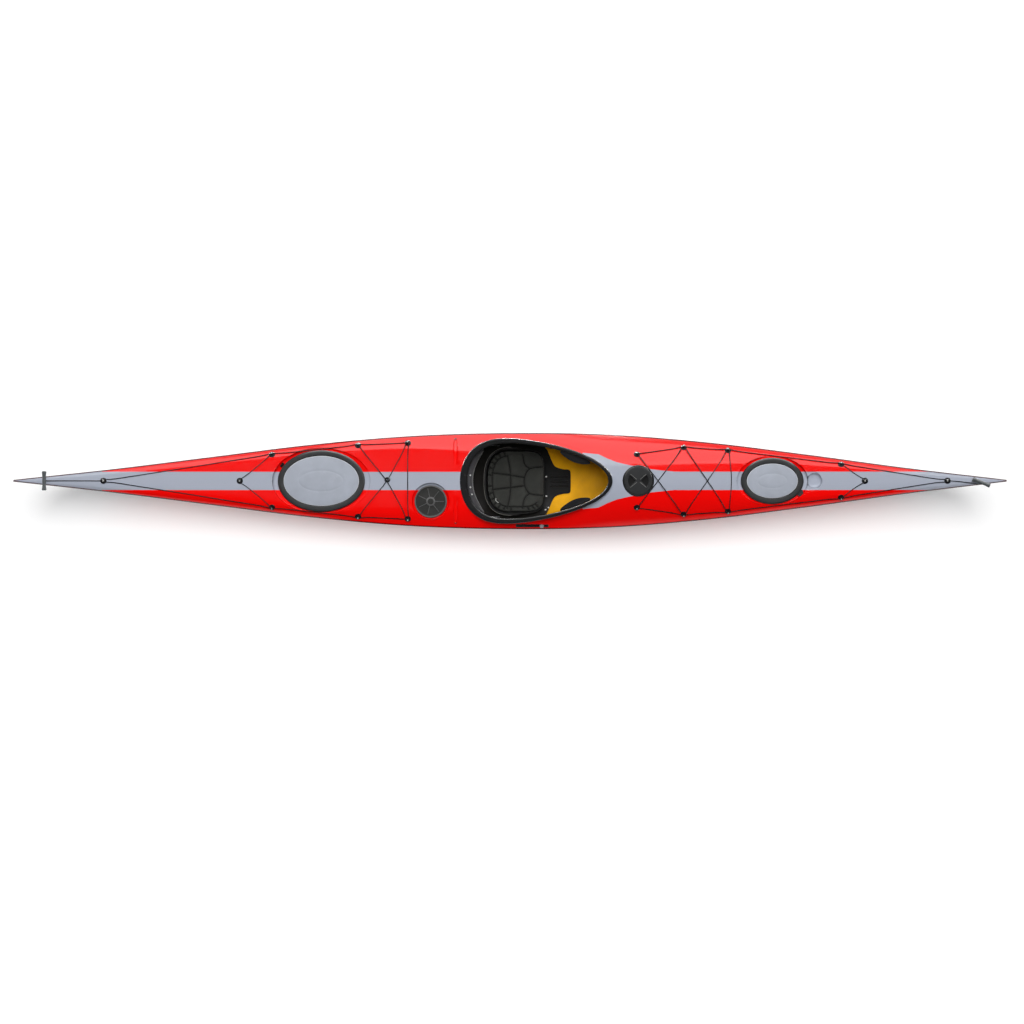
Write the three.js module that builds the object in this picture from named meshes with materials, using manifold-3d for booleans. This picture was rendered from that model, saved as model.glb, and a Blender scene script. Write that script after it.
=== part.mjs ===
// Sea kayak, modelled in millimetres.
// X runs from the stern to the bow, Y to port and Z up. The origin is on the keel amidships.
import * as THREE from 'three';
import { mergeVertices } from 'three/addons/utils/BufferGeometryUtils.js';
import Module from 'manifold-3d';

const wasm = await Module();
wasm.setup();

// Hull and deck
const hullLength = 5400;
const hullBeam = 528;
const sheerHeight = 222;
const crownHeight = 105;
const shellWall = 4;
const seamGap = 0.3;
const fitGap = 0.3;
const flatKeelLength = 1800;
const keelRocker = 60;
const tipDepth = 20;
const tipSolidLength = 140;
const overrun = 30;
const touch = 0.2;
const halfLength = hullLength / 2;
const halfBeam = hullBeam / 2;

// Shares of the sizes above at eleven equal stations from the stern to the bow
const breadthShares = [0.02, 0.246, 0.504, 0.758, 0.936, 1, 0.966, 0.803, 0.549, 0.269, 0.02];
const sheerShares = [1.64, 1.43, 1.22, 1.09, 1.02, 1, 1.04, 1.15, 1.31, 1.52, 1.78];
const crownShares = [0.08, 0.2, 0.3, 0.36, 0.34, 0.62, 1, 0.74, 0.42, 0.24, 0.08];
const creaseShares = [0.5, 0.62, 0.7, 0.74, 0.7, 0.52, 0.38, 0.46, 0.6, 0.6, 0.5];
const keelWidthShare = 0.12;
const bilgePower = 2.2;
const topsidePower = 1.8;
const stemPower = 11;
const creaseDropShare = 0.12;
const deckBulgeShare = 0.5;

// Cockpit coaming
const coamingRear = 272;
const coamingFront = 562;
const coamingHalfWidth = 234;
const coamingRearPower = 2.8;
const coamingFrontPower = 1.5;
const rearRimWidth = 36;
const frontRimWidth = 20;
const coamingRearTop = 278;
const coamingFrontTop = 353;
const coamingSweepPower = 1.3;
const lipHeight = 6;
const lipRound = 2;
const riserDrop = 8;

// Hatches: recess, rim and rubber cover
const ringSides = 26;
const roundSides = 24;
const rimInset = 20;
const rimWall = 4;
const rimRise = 12;
const lipReach = 6;
const lipThickness = 4;
const flangeReach = 10;
const flangeThickness = 4;
const rubberWidth = 32;
const rubberRise = 22;
const rubberRound = 5;
const ledgeRise = 16;
const ledgeReach = 12;
const plateThickness = 4;
const plateDome = 5;
const embossWidth = 4;
const embossDepth = 1.2;
const embossShares = { x: 0.59, y: 0.42 };
const rearHatch = {
  x: -1031, y: 0, semiX: 238.5, semiY: 169, marginX: 30, marginY: 12, depth: 24, sides: ringSides,
};
const frontHatch = {
  x: 1435, y: 0, semiX: 171, semiY: 126.5, marginX: 24, marginY: 10, depth: 28, sides: ringSides,
};
const dayHatch = {
  x: -432, y: -112, semiX: 89, semiY: 89, marginX: 13, marginY: 13, depth: 24, sides: roundSides,
};
const pullTab = { length: 34, width: 40, x: 152, y: -66, thickness: 6 };
const dayHub = { radius: 19, rise: 5 };
const dayRib = { count: 7, width: 4, rise: 3, endGap: 12 };

// Screw hatch with the pod under it
const screwHatch = { x: 703, y: 0, radius: 85.5, depth: 12 };
const podRadius = 72;
const podWall = 3;
const podDepth = 92;
const screwRim = { rise: 9, round: 1.5, wall: 6, ledge: 4 };
const lidGap = 0.8;
const lidTop = 11.5;
const lidPlug = { wall: 5, drop: 8 };
const sealWidth = 5.5;
const sealHeight = 2;
const fingerRecess = { inner: 14, outer: 56, depth: 6, halfAngle: 0.62 };

// Other shapes moulded in the deck
const compass = { x: 1663, radius: 42, depth: 14, profileShares: [[0, 1], [0.45, 0.9], [0.8, 0.5], [1, 0]] };
const compassFlat = { x: 1640, semiX: 64, semiY: 54, depth: 10 };
const paddleGroove = { x: -296, radius: 14, inner: 82, outer: 232, sink: 5 };

// Deck fittings: places of the pairs, then of those on the centre line
const fittingPairs = [
  { name: 'aft', alongShare: -0.4815, edgeShare: 0.826 },
  { name: 'rear', alongShare: -0.3078, edgeShare: 0.867 },
  { name: 'day', alongShare: -0.2067, edgeShare: 0.845 },
  { name: 'pod', alongShare: 0.2578, edgeShare: 0.59 },
  { name: 'chart', alongShare: 0.353, edgeShare: 0.811 },
  { name: 'front', alongShare: 0.4426, edgeShare: 0.832 },
  { name: 'fore', alongShare: 0.67, edgeShare: 0.755 },
].map(({ name, alongShare, edgeShare }) => {
  const x = alongShare * halfLength;
  return { name, x, y: edgeShare * station(x).half };
});
const fittingCentres = [
  { name: 'stern', alongShare: -0.82 },
  { name: 'aft_centre', alongShare: -0.5463 },
  { name: 'fore_centre', alongShare: 0.7174 },
  { name: 'bow', alongShare: 0.8826 },
].map(({ name, alongShare }) => ({ name, x: alongShare * halfLength }));
const flangeRadius = 17.5;
const flangeRise = 3;
const flangeSink = 5;
const postRadius = 4;
const capRadius = 9;
const capDome = 4;

// Cords
const cordRadius = 2.5;
const cordGap = 0.4;
const layerGap = 1.6;
const deckGap = 1;
const lowLayer = flangeRise + cordGap + cordRadius;
const highLayer = lowLayer + 2 * cordRadius + layerGap;
const turnRadius = postRadius + cordGap + cordRadius;
const capRise = highLayer + cordRadius + cordGap;
const restLift = cordRadius + deckGap;
const overLift = restLift + 2 * cordRadius + deckGap;
const crownLift = restLift + deckGap;
const hatchLift = 8;
const hatchOverLift = 14.5;
const frontBungeeBow = 16;
const crossingX = -670;
const oliveRadius = 10;
const oliveLength = 22;

// Carry toggles
const sternToggle = { x: -2533, y: 0, length: 105, radius: 13, turn: 0, lift: 10.5 };
const bowToggle = { x: 2563, y: -9, length: 100, radius: 13, turn: 1.21, lift: 13.5 };
const sternCord = [[-2290, 0, 3.5], [-2360, 0, 3.5], [-2430, 0, 3.5], [-2490, 0, 5], [-2522.4, 0, 10]];
const bowCord = [[2450, -5, 3.5], [2500, -11, 6], [2530, -15.5, 10], [2556, -20.2, 13.5]];
const toggleWaist = 3;
const toggleHinge = 13;
const toggleHingeLift = 5.2;

// Seat and backrest
const seat = { x: 10, rear: 152, front: 202, halfWidth: 188, rearPower: 2.6, frontPower: 5 };
const seatWall = 5;
const seatRimHeight = 104;
const seatRimWidth = 6;
const seatTaper = 30;
const seatFrontHeight = 58;
const apronThickness = 6;
const apronRise = 70;
const apron = { rear: 170, sideX: 212, side: 182, midX: 243, mid: 121, neckX: 286, neck: 75, front: 340, half: 66 };
const ridge = { count: 3, pitch: 26, width: 10, rise: 16, rear: 225, front: 328 };
const padClearance = 3;
const padRim = 24;
const padEdgeHeight = 62;
const padHollow = 16;
const channelRadius = 4.5;
const backrest = { x: 30, radius: 254, thickness: 26, bottom: 120, top: 246, halfWidth: 182, drop: 44, crown: 4 };
const backrestHalfAngle = Math.asin(backrest.halfWidth / backrest.radius);
const spine = { bottom: 132, height: 56, thickness: 3 };
const pivot = { x: -60, z: 92, radius: 5, eye: 11, arm: 4, play: 0.6 };

// Thigh braces
const brace = { rear: 277, front: 441, root: 12, reach: 30, bendPower: 0.8, thickness: 8, drop: 26 };

// Footrests
const rail = { x: 850, length: 320, height: 26, depth: 14, z: 150 };
const pedal = { along: -40, height: 100, rise: 6, thickness: 10, block: 36, reach: 62 };

// Bulkheads, the front one ahead of the footrests
const bulkheadThickness = 8;
const railEndGap = 20;
const rearBulkheadX = -700;
const middleBulkheadX = -300;
const frontBulkheadX = rail.x + rail.length + railEndGap;

// Skeg and its control
const skeg = { slotRear: -1872, slotFront: -1597, thickness: 6, play: 1.5, boxWall: 3, boxTop: 172 };
const skegPivot = { x: -1622, z: 60, radius: 5, play: 0.5 };
const skegBlade = { root: 18, toe: 15, low: 42, tip: 242, heel: 14, shoulderX: 190, shoulder: 58, crestX: 120, crest: 92 };
const track = { x: 125, y: 246, length: 180, width: 20, depth: 12, slot: 8, slotDepth: 8, end: 8 };
const slider = { length: 26, knob: 11, lift: 1.4, rise: 9, x: 52 };
const cableRadius = 3;
const glandRadius = 4.5;
const cable = { z: 118, bend: -1400, wide: -1150, sheerDrop: 30, wallGap: 14, front: 20 };

const sky = 900;

// Paint and materials, from the photo
const finish = {
  gelcoat: { color: 0xe60a08, roughness: 0.18, metalness: 0 },
  black: { color: 0x1c1c1e, roughness: 0.45, metalness: 0 },
  rubber: { color: 0x34383a, roughness: 0.7, metalness: 0 },
  plate: { color: 0xa6abb9, roughness: 0.4, metalness: 0 },
  fabric: { color: 0x2b2b2c, roughness: 0.9, metalness: 0 },
  foam: { color: 0x44464a, roughness: 0.85, metalness: 0 },
  cord: { color: 0x17181a, roughness: 0.8, metalness: 0 },
  nylon: { color: 0x2a2b2c, roughness: 0.5, metalness: 0 },
  grip: { color: 0x596062, roughness: 0.6, metalness: 0 },
  bulkhead: { color: 0xc8c4b8, roughness: 0.5, metalness: 0 },
  alloy: { color: 0x9a9da2, roughness: 0.35, metalness: 0.9 },
  amber: { color: 0xa86414, roughness: 0.4, metalness: 0 },
};

// Solids from three.js geometries

function signedVolume(positions, faces) {
  const a = new THREE.Vector3();
  const b = new THREE.Vector3();
  const c = new THREE.Vector3();
  let sum = 0;
  for (let i = 0; i < faces.length; i += 3) {
    a.fromArray(positions, faces[i] * 3);
    b.fromArray(positions, faces[i + 1] * 3);
    c.fromArray(positions, faces[i + 2] * 3);
    sum += a.dot(b.cross(c));
  }
  return sum;
}

// A closed geometry as a solid, with its corners merged and its faces turned outwards.
function solid(geometry) {
  const bare = geometry.index ? geometry.toNonIndexed() : geometry.clone();
  bare.deleteAttribute('normal');
  bare.deleteAttribute('uv');
  const merged = mergeVertices(bare, 1e-3);
  const corners = merged.index.array;
  const faces = [];
  for (let i = 0; i < corners.length; i += 3) {
    const [a, b, c] = [corners[i], corners[i + 1], corners[i + 2]];
    if (a !== b && b !== c && c !== a) {
      faces.push(a, b, c);
    }
  }
  const vertProperties = Float32Array.from(merged.attributes.position.array);
  if (signedVolume(vertProperties, faces) < 0) {
    faces.reverse();
  }
  const triVerts = Uint32Array.from(faces);
  return new wasm.Manifold(new wasm.Mesh({ numProp: 3, vertProperties, triVerts }));
}

// A skin over rings of points. A loop of rings closes on itself; otherwise each end ring is capped.
function skin(rings, loop = false) {
  const count = rings[0].length;
  const points = rings.flat();
  const faces = [];
  const strips = loop ? rings.length : rings.length - 1;
  for (let i = 0; i < strips; i++) {
    const near = i * count;
    const far = ((i + 1) % rings.length) * count;
    for (let j = 0; j < count; j++) {
      const k = (j + 1) % count;
      faces.push(near + j, far + j, far + k, near + j, far + k, near + k);
    }
  }
  if (!loop) {
    for (const [start, order] of [[0, 1], [(rings.length - 1) * count, -1]]) {
      const centre = new THREE.Vector3();
      for (let j = 0; j < count; j++) {
        centre.addScaledVector(points[start + j], 1 / count);
      }
      points.push(centre);
      for (let j = 0; j < count; j++) {
        const k = (j + 1) % count;
        const edge = order > 0 ? [start + j, start + k] : [start + k, start + j];
        faces.push(points.length - 1, ...edge);
      }
    }
  }
  const geometry = new THREE.BufferGeometry().setFromPoints(points);
  geometry.setIndex(faces);
  return solid(geometry);
}

const at = (x, y, z) => new THREE.Vector3(x, y, z);

// Rings of an oval, from rows of semi-axes and heights.
function ovalRings(x, y, rows, sides) {
  return rows.map(([semiX, semiY, z]) => {
    const ring = [];
    for (let i = 0; i < sides; i++) {
      const angle = (i / sides) * 2 * Math.PI;
      ring.push(at(x + semiX * Math.cos(angle), y + semiY * Math.sin(angle), z));
    }
    return ring;
  });
}

function ovalColumn(x, y, semiX, semiY, bottom, top, sides = ringSides) {
  return skin(ovalRings(x, y, [[semiX, semiY, bottom], [semiX, semiY, top]], sides));
}

// A profile of radius and height turned about the Z axis.
function turned(profile, sides = roundSides) {
  const line = profile.map(([radius, height]) => new THREE.Vector2(radius, height));
  return new THREE.LatheGeometry(line, sides).rotateX(Math.PI / 2);
}

function block(sizeX, sizeY, sizeZ, x, y, z) {
  return new THREE.BoxGeometry(sizeX, sizeY, sizeZ).translate(x, y, z);
}

function box(...sizesAndPlace) {
  return solid(block(...sizesAndPlace));
}

// An outline of X and Y points between two heights.
function column(points, bottom, top) {
  const outline = new THREE.Shape(points.map(([x, y]) => new THREE.Vector2(x, y)));
  const geometry = new THREE.ExtrudeGeometry(outline, { depth: top - bottom, bevelEnabled: false });
  geometry.translate(0, 0, bottom);
  return solid(geometry);
}

// An outline of X and Z points between two places along Y.
function slab(points, from, to) {
  const outline = new THREE.Shape(points.map(([x, z]) => new THREE.Vector2(x, z)));
  const geometry = new THREE.ExtrudeGeometry(outline, { depth: to - from, bevelEnabled: false });
  geometry.rotateX(Math.PI / 2);
  geometry.translate(0, to, 0);
  return solid(geometry);
}

function rodAlongY(x, z, radius, from, to, sides = 12) {
  const geometry = new THREE.CylinderGeometry(radius, radius, to - from, sides);
  geometry.translate(x, (from + to) / 2, z);
  return solid(geometry);
}

// Lines of the hull and deck

function alongHull(shares, x) {
  const last = shares.length - 1;
  const place = (x / hullLength + 0.5) * last;
  const i = Math.min(Math.max(Math.floor(place), 0), last - 1);
  const before = i > 0 ? shares[i - 1] : 2 * shares[0] - shares[1];
  const after = i < last - 1 ? shares[i + 2] : 2 * shares[last] - shares[last - 1];
  const near = shares[i];
  const far = shares[i + 1];
  const t = place - i;
  const slope = (far - before) / 2;
  const nextSlope = (after - near) / 2;
  const rise = far - near;
  return near + slope * t + (3 * rise - 2 * slope - nextSlope) * t * t + (slope + nextSlope - 2 * rise) * t ** 3;
}

function keelHeight(x) {
  const run = Math.max(Math.abs(x) - flatKeelLength / 2, 0) / (halfLength - flatKeelLength / 2);
  const tip = alongHull(sheerShares, Math.sign(x) * halfLength) * sheerHeight - tipDepth;
  return keelRocker * run ** 2 + (tip - keelRocker) * run ** stemPower;
}

const stationCount = 15;
const stationEvenShare = 0.45;

function station(x) {
  return {
    x,
    half: alongHull(breadthShares, x) * halfBeam,
    sheer: alongHull(sheerShares, x) * sheerHeight,
    crown: alongHull(crownShares, x) * crownHeight,
    crease: alongHull(creaseShares, x),
    keel: keelHeight(x),
  };
}

const stations = [];
for (let i = -stationCount; i <= stationCount; i++) {
  const share = i / stationCount;
  const bent = Math.sin((share * Math.PI) / 2);
  stations.push(station(halfLength * (stationEvenShare * share + (1 - stationEvenShare) * bent)));
}
const inner = stations.filter((row) => Math.abs(row.x) < halfLength - tipSolidLength);

const hullRows = 5;
const creaseRows = 2;
const edgeRows = 4;

// Half a hull section from the keel to the sheer, set in by a wall.
function hullHalf(row, inset, top) {
  const half = row.half - inset;
  const flat = half * keelWidthShare;
  const floor = row.keel + inset;
  const points = [];
  for (let i = 0; i <= hullRows; i++) {
    const t = i / hullRows;
    const y = flat + (half - flat) * (1 - (1 - t) ** bilgePower);
    points.push([y, floor + (top - floor) * t ** topsidePower]);
  }
  return points;
}

// Half a deck section from the centre line to the sheer, set in by a wall.
function deckHalf(row, inset) {
  const half = row.half - inset;
  const crown = row.crown - inset;
  const points = [];
  for (let i = 0; i <= creaseRows + edgeRows; i++) {
    if (i <= creaseRows) {
      const share = i / creaseRows;
      points.push([half * row.crease * share, row.sheer + crown * (1 - creaseDropShare * share ** 2)]);
    } else {
      const u = (i - creaseRows) / edgeRows;
      const fall = (1 - creaseDropShare) * (1 - u) * (1 + deckBulgeShare * u);
      points.push([half * (row.crease + (1 - row.crease) * u), row.sheer + crown * fall]);
    }
  }
  return points;
}

function hullBody(rows, inset, rise) {
  return skin(rows.map((row) => {
    const half = hullHalf(row, inset, row.sheer + Math.min(rise, 0));
    const port = half.map(([y, z]) => at(row.x, y, z));
    const starboard = half.map(([y, z]) => at(row.x, -y, z));
    const edge = row.half - inset;
    const rim = rise > 0 ? [at(row.x, edge, row.sheer + rise), at(row.x, -edge, row.sheer + rise)] : [];
    return [...starboard.reverse(), ...port, ...rim];
  }));
}

function deckBody(rows, inset, run) {
  return skin(rows.map((row) => {
    const half = deckHalf(row, inset);
    const port = half.map(([y, z]) => at(row.x, y, z));
    const starboard = half.slice(1).map(([y, z]) => at(row.x, -y, z));
    const edge = row.half - inset;
    const foot = run > 0 ? [at(row.x, -edge, row.sheer - run), at(row.x, edge, row.sheer - run)] : [];
    return [...port.reverse(), ...starboard, ...foot];
  }));
}

// Height of the faceted deck at a place.
function deckHeight(x, y) {
  let i = 0;
  while (i < stations.length - 2 && stations[i + 1].x < x) {
    i++;
  }
  const share = (x - stations[i].x) / (stations[i + 1].x - stations[i].x);
  const near = deckHalf(stations[i], 0);
  const far = deckHalf(stations[i + 1], 0);
  const row = near.map(([a, b], k) => [a + (far[k][0] - a) * share, b + (far[k][1] - b) * share]);
  let k = 0;
  while (k < row.length - 2 && row[k + 1][0] < Math.abs(y)) {
    k++;
  }
  const across = (Math.abs(y) - row[k][0]) / (row[k + 1][0] - row[k][0]);
  return row[k][1] + (row[k + 1][1] - row[k][1]) * across;
}

const slopeStep = 6;

function deckFrame(x, y) {
  const dx = (deckHeight(x + slopeStep, y) - deckHeight(x - slopeStep, y)) / (2 * slopeStep);
  const dy = (deckHeight(x, y + slopeStep) - deckHeight(x, y - slopeStep)) / (2 * slopeStep);
  const along = at(1, 0, dx).normalize();
  const normal = at(-dx, -dy, 1).normalize();
  const across = normal.clone().cross(along);
  return { point: at(x, y, deckHeight(x, y)), along, across, normal };
}

function onDeck(x, y, lift) {
  const { point, normal } = deckFrame(x, y);
  return point.addScaledVector(normal, lift);
}

function deckMatrix(x, y) {
  const { point, along, across, normal } = deckFrame(x, y);
  return new THREE.Matrix4().makeBasis(along, across, normal).setPosition(point);
}

// Cockpit opening

function coamingInset(angle) {
  const rearShare = ((1 - Math.cos(angle)) / 2) ** 2;
  return frontRimWidth + (rearRimWidth - frontRimWidth) * rearShare;
}

function coamingPoint(angle, inset) {
  const cos = Math.cos(angle);
  const y = (coamingHalfWidth - inset) * Math.sin(angle);
  if (cos >= 0) {
    return [(coamingFront - inset) * cos ** (2 / coamingFrontPower), y];
  }
  return [-(coamingRear - inset) * (-cos) ** (2 / coamingRearPower), y];
}

function coamingTop(x) {
  const share = Math.max(x + coamingRear, 0) / (coamingRear + coamingFront);
  return coamingRearTop + (coamingFrontTop - coamingRearTop) * share ** coamingSweepPower;
}

const coamingSides = 44;

function coamingOutline(extra) {
  const points = [];
  for (let i = 0; i < coamingSides; i++) {
    const angle = (i / coamingSides) * 2 * Math.PI;
    points.push(coamingPoint(angle, coamingInset(angle) + extra));
  }
  return points;
}

function coaming() {
  const rings = [];
  for (let i = 0; i < coamingSides; i++) {
    const angle = (i / coamingSides) * 2 * Math.PI;
    const riser = coamingInset(angle);
    const top = coamingTop(coamingPoint(angle, 0)[0]);
    const [deckX, deckY] = coamingPoint(angle, riser);
    const bottom = deckHeight(deckX, deckY) - shellWall - riserDrop;
    const rows = [
      [lipRound, top],
      [0, top - lipRound],
      [0, top - lipHeight],
      [lipRound, top - lipHeight],
      [riser, top - shellWall],
      [riser, bottom],
      [riser + shellWall, bottom],
      [riser + shellWall, top - lipRound],
      [riser + shellWall - lipRound, top],
    ];
    rings.push(rows.map(([inset, z]) => at(...coamingPoint(angle, inset), z)));
  }
  return skin(rings, true);
}

// Recesses of the deck, grown by a wall for the inside of the shell

function floorOf(hatch) {
  return deckHeight(hatch.x, hatch.y) - hatch.depth;
}

function recesses(grow) {
  const ovals = [rearHatch, frontHatch, dayHatch].map((hatch) => ovalColumn(
    hatch.x, hatch.y,
    hatch.semiX + hatch.marginX + grow, hatch.semiY + hatch.marginY + grow,
    floorOf(hatch) - grow, sky, hatch.sides,
  ));
  const screwWall = screwHatch.radius + fitGap + grow;
  const screw = ovalColumn(screwHatch.x, screwHatch.y, screwWall, screwWall, floorOf(screwHatch) - grow, sky, roundSides);
  const { x, semiX, semiY, depth } = compassFlat;
  const flat = ovalColumn(x, 0, semiX + grow, semiY + grow, deckHeight(x, 0) - depth - grow, sky, roundSides);
  const bowlProfile = compass.profileShares.map(([radiusShare, depthShare]) => [
    (compass.radius + grow) * radiusShare, -(compass.depth + grow) * depthShare,
  ]);
  const bowlTop = [[compass.radius + grow, overrun], [0, overrun]];
  const bowl = turned([...bowlProfile, ...bowlTop], 20).translate(compass.x, 0, deckHeight(x, 0) - depth);
  let cuts = screw.add(flat).add(solid(bowl));
  for (const oval of ovals) {
    cuts = cuts.add(oval);
  }
  for (const side of [-1, 1]) {
    cuts = cuts.add(grooveCut(side, grow));
  }
  return cuts;
}

function grooveCut(side, grow) {
  const points = [];
  const steps = 3;
  for (let i = 0; i <= steps; i++) {
    const share = i / steps;
    const y = paddleGroove.inner + (paddleGroove.outer - paddleGroove.inner) * share;
    const sink = paddleGroove.sink * Math.sin(Math.PI * Math.min(share * 1.5, 1) * 0.5);
    const height = deckHeight(paddleGroove.x, y) - sink + paddleGroove.radius;
    points.push(at(paddleGroove.x, side * y, height));
  }
  return tube(points, paddleGroove.radius + grow, 10);
}

// A round tube that steps from point to point of its route
class Route extends THREE.Curve {
  constructor(points) {
    super();
    this.points = points;
  }

  getPoint(t) {
    const place = t * (this.points.length - 1);
    const i = Math.min(Math.floor(place + 1e-6), this.points.length - 2);
    return this.points[i].clone().lerp(this.points[i + 1], place - i);
  }

  getPointAt(u) {
    return this.getPoint(u);
  }

  getTangentAt(u) {
    const i = Math.round(u * (this.points.length - 1));
    const before = this.points[Math.max(i - 1, 0)];
    const after = this.points[Math.min(i + 1, this.points.length - 1)];
    const here = this.points[i];
    const arriving = here.clone().sub(before).normalize();
    const leaving = after.clone().sub(here).normalize();
    return arriving.add(leaving).normalize();
  }
}

function tube(points, radius, sides) {
  const section = new THREE.Shape();
  for (let i = 0; i < sides; i++) {
    const angle = (i / sides) * 2 * Math.PI;
    const corner = [radius * Math.cos(angle), radius * Math.sin(angle)];
    if (i === 0) {
      section.moveTo(...corner);
    } else {
      section.lineTo(...corner);
    }
  }
  section.closePath();
  const extrudePath = new Route(points);
  const geometry = new THREE.ExtrudeGeometry(section, { steps: points.length - 1, extrudePath, bevelEnabled: false });
  return solid(geometry);
}

// Hull and deck shells

function hullShell() {
  const outside = hullBody(stations, 0, -seamGap);
  const slotWidth = skeg.thickness + 2 * skeg.play;
  const slotLength = skeg.slotFront - skeg.slotRear;
  const slot = box(slotLength, slotWidth, sky, (skeg.slotFront + skeg.slotRear) / 2, 0, 0);
  return outside.subtract(hullBody(inner, shellWall, overrun)).subtract(slot.intersect(lowSpace()));
}

// Everything below half the sheer, so that a cut in the bottom leaves the rest whole.
function lowSpace() {
  return box(hullLength, hullBeam, sheerHeight, 0, 0, 0);
}

// The skeg control's place on the deck edge, level along X and leaning with the deck.
function trackPlace() {
  const { point, normal } = deckFrame(track.x, -track.y);
  return new THREE.Matrix4().makeRotationX(Math.atan2(-normal.y, normal.z)).setPosition(point);
}

function deckShell() {
  const outside = deckBody(stations, 0, 0).subtract(recesses(0));
  const inside = deckBody(inner, shellWall, overrun).subtract(recesses(shellWall));
  let shell = outside.subtract(inside);
  shell = shell.subtract(column(coamingOutline(-fitGap), 0, sky));
  for (const hatch of [rearHatch, frontHatch, dayHatch]) {
    const hole = rimInset - fitGap;
    shell = shell.subtract(ovalColumn(hatch.x, hatch.y, hatch.semiX - hole, hatch.semiY - hole, 0, sky, hatch.sides));
  }
  const podHole = podRadius + podWall + fitGap;
  shell = shell.subtract(ovalColumn(screwHatch.x, screwHatch.y, podHole, podHole, 0, sky, roundSides));
  const trackCut = block(track.length + 2 * fitGap, track.width + 2 * fitGap, 2 * track.depth, 0, 0, 0);
  return shell.subtract(solid(trackCut.applyMatrix4(trackPlace())));
}

// The room inside the shells, short of them by a gap.
function roomInside(inset) {
  return hullBody(inner, inset, touch).add(deckBody(inner, inset, 0).subtract(recesses(inset)));
}

// Hatches, each about a point on its recess floor

function hatchRim(hatch) {
  const under = -shellWall - fitGap;
  const rows = [
    [rimInset + rimWall, rimRise],
    [rimInset - lipReach, rimRise],
    [rimInset - lipReach, rimRise - lipThickness],
    [rimInset, rimRise - lipThickness],
    [rimInset, under],
    [rimInset - flangeReach, under],
    [rimInset - flangeReach, under - flangeThickness],
    [rimInset + rimWall, under - flangeThickness],
  ].map(([inset, height]) => [hatch.semiX - inset, hatch.semiY - inset, height]);
  return skin(ovalRings(0, 0, rows, hatch.sides), true);
}

function hatchSeal(hatch) {
  const groove = rimInset - lipReach - fitGap;
  const rows = [
    [0, fitGap],
    [0, rubberRise - rubberRound],
    [rubberRound, rubberRise],
    [rubberWidth, rubberRise],
    [rubberWidth, ledgeRise],
    [rubberWidth + ledgeReach, ledgeRise],
    [rubberWidth + ledgeReach, rimRise + fitGap],
    [groove, rimRise + fitGap],
    [groove, fitGap],
  ].map(([inset, height]) => [hatch.semiX - inset, hatch.semiY - inset, height]);
  return skin(ovalRings(0, 0, rows, hatch.sides), true);
}

function hatchPlate(hatch) {
  const z = ledgeRise + fitGap;
  const semiX = hatch.semiX - rubberWidth - fitGap;
  const semiY = hatch.semiY - rubberWidth - fitGap;
  const height = (share) => z + plateThickness + plateDome * (1 - share ** 2);
  const oval = (extra, drop) => {
    const x = semiX * embossShares.x + extra;
    const y = semiY * embossShares.y + extra;
    return [x, y, height(x / semiX) - drop];
  };
  const rows = [
    [0, 0, z],
    [semiX, semiY, z],
    [semiX, semiY, height(1)],
    oval(embossWidth, 0),
    oval(0, embossDepth),
    oval(-embossWidth, 0),
    [0, 0, height(0)],
  ];
  return skin(ovalRings(0, 0, rows, hatch.sides));
}

function frontSeal() {
  const { semiX, semiY, marginX, marginY } = frontHatch;
  const tab = ovalColumn(
    pullTab.x, pullTab.y, pullTab.length / 2, pullTab.width / 2, ledgeRise - pullTab.thickness, ledgeRise, 12,
  );
  const keep = ovalColumn(0, 0, semiX - rubberRound, semiY - rubberRound, 0, rubberRise);
  const limit = ovalColumn(0, 0, semiX + marginX - touch, semiY + marginY - touch, 0, rubberRise);
  return hatchSeal(frontHatch).add(tab.subtract(keep).intersect(limit));
}

function dayCover() {
  const radius = dayHatch.semiX;
  const groove = radius - rimInset + lipReach + fitGap;
  const deep = rimRise + fitGap;
  let cover = solid(turned([
    [0, deep],
    [groove, deep],
    [groove, fitGap],
    [radius, fitGap],
    [radius, rubberRise - rubberRound],
    [radius - rubberRound / 2, rubberRise - rubberRound / 2],
    [radius - rubberRound * 2, ledgeRise],
    [dayHub.radius + embossWidth, ledgeRise],
    [dayHub.radius, ledgeRise + dayHub.rise],
    [0, ledgeRise + dayHub.rise + embossDepth],
  ]));
  for (let i = 0; i < dayRib.count; i++) {
    const from = dayHub.radius - embossWidth;
    const to = radius - dayRib.endGap;
    const bar = block(to - from, dayRib.width, dayRib.rise + embossDepth, (from + to) / 2, 0, ledgeRise + dayRib.rise / 2);
    cover = cover.add(solid(bar.rotateZ((i / dayRib.count) * 2 * Math.PI)));
  }
  return cover;
}

function screwPod() {
  const outer = screwHatch.radius;
  const { rise, round, wall, ledge } = screwRim;
  return solid(turned([
    [0, -podDepth],
    [podRadius + podWall, -podDepth],
    [podRadius + podWall, fitGap],
    [outer, fitGap],
    [outer, rise - round],
    [outer - round, rise],
    [outer - wall, rise],
    [outer - wall, ledge],
    [podRadius, ledge],
    [podRadius, podWall - podDepth],
    [0, podWall - podDepth],
  ]));
}

function screwSeal() {
  const low = screwRim.ledge + fitGap;
  return solid(turned([
    [podRadius + lidGap, low],
    [podRadius + lidGap + sealWidth, low],
    [podRadius + lidGap + sealWidth, low + sealHeight],
    [podRadius + lidGap, low + sealHeight],
    [podRadius + lidGap, low],
  ]));
}

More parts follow.
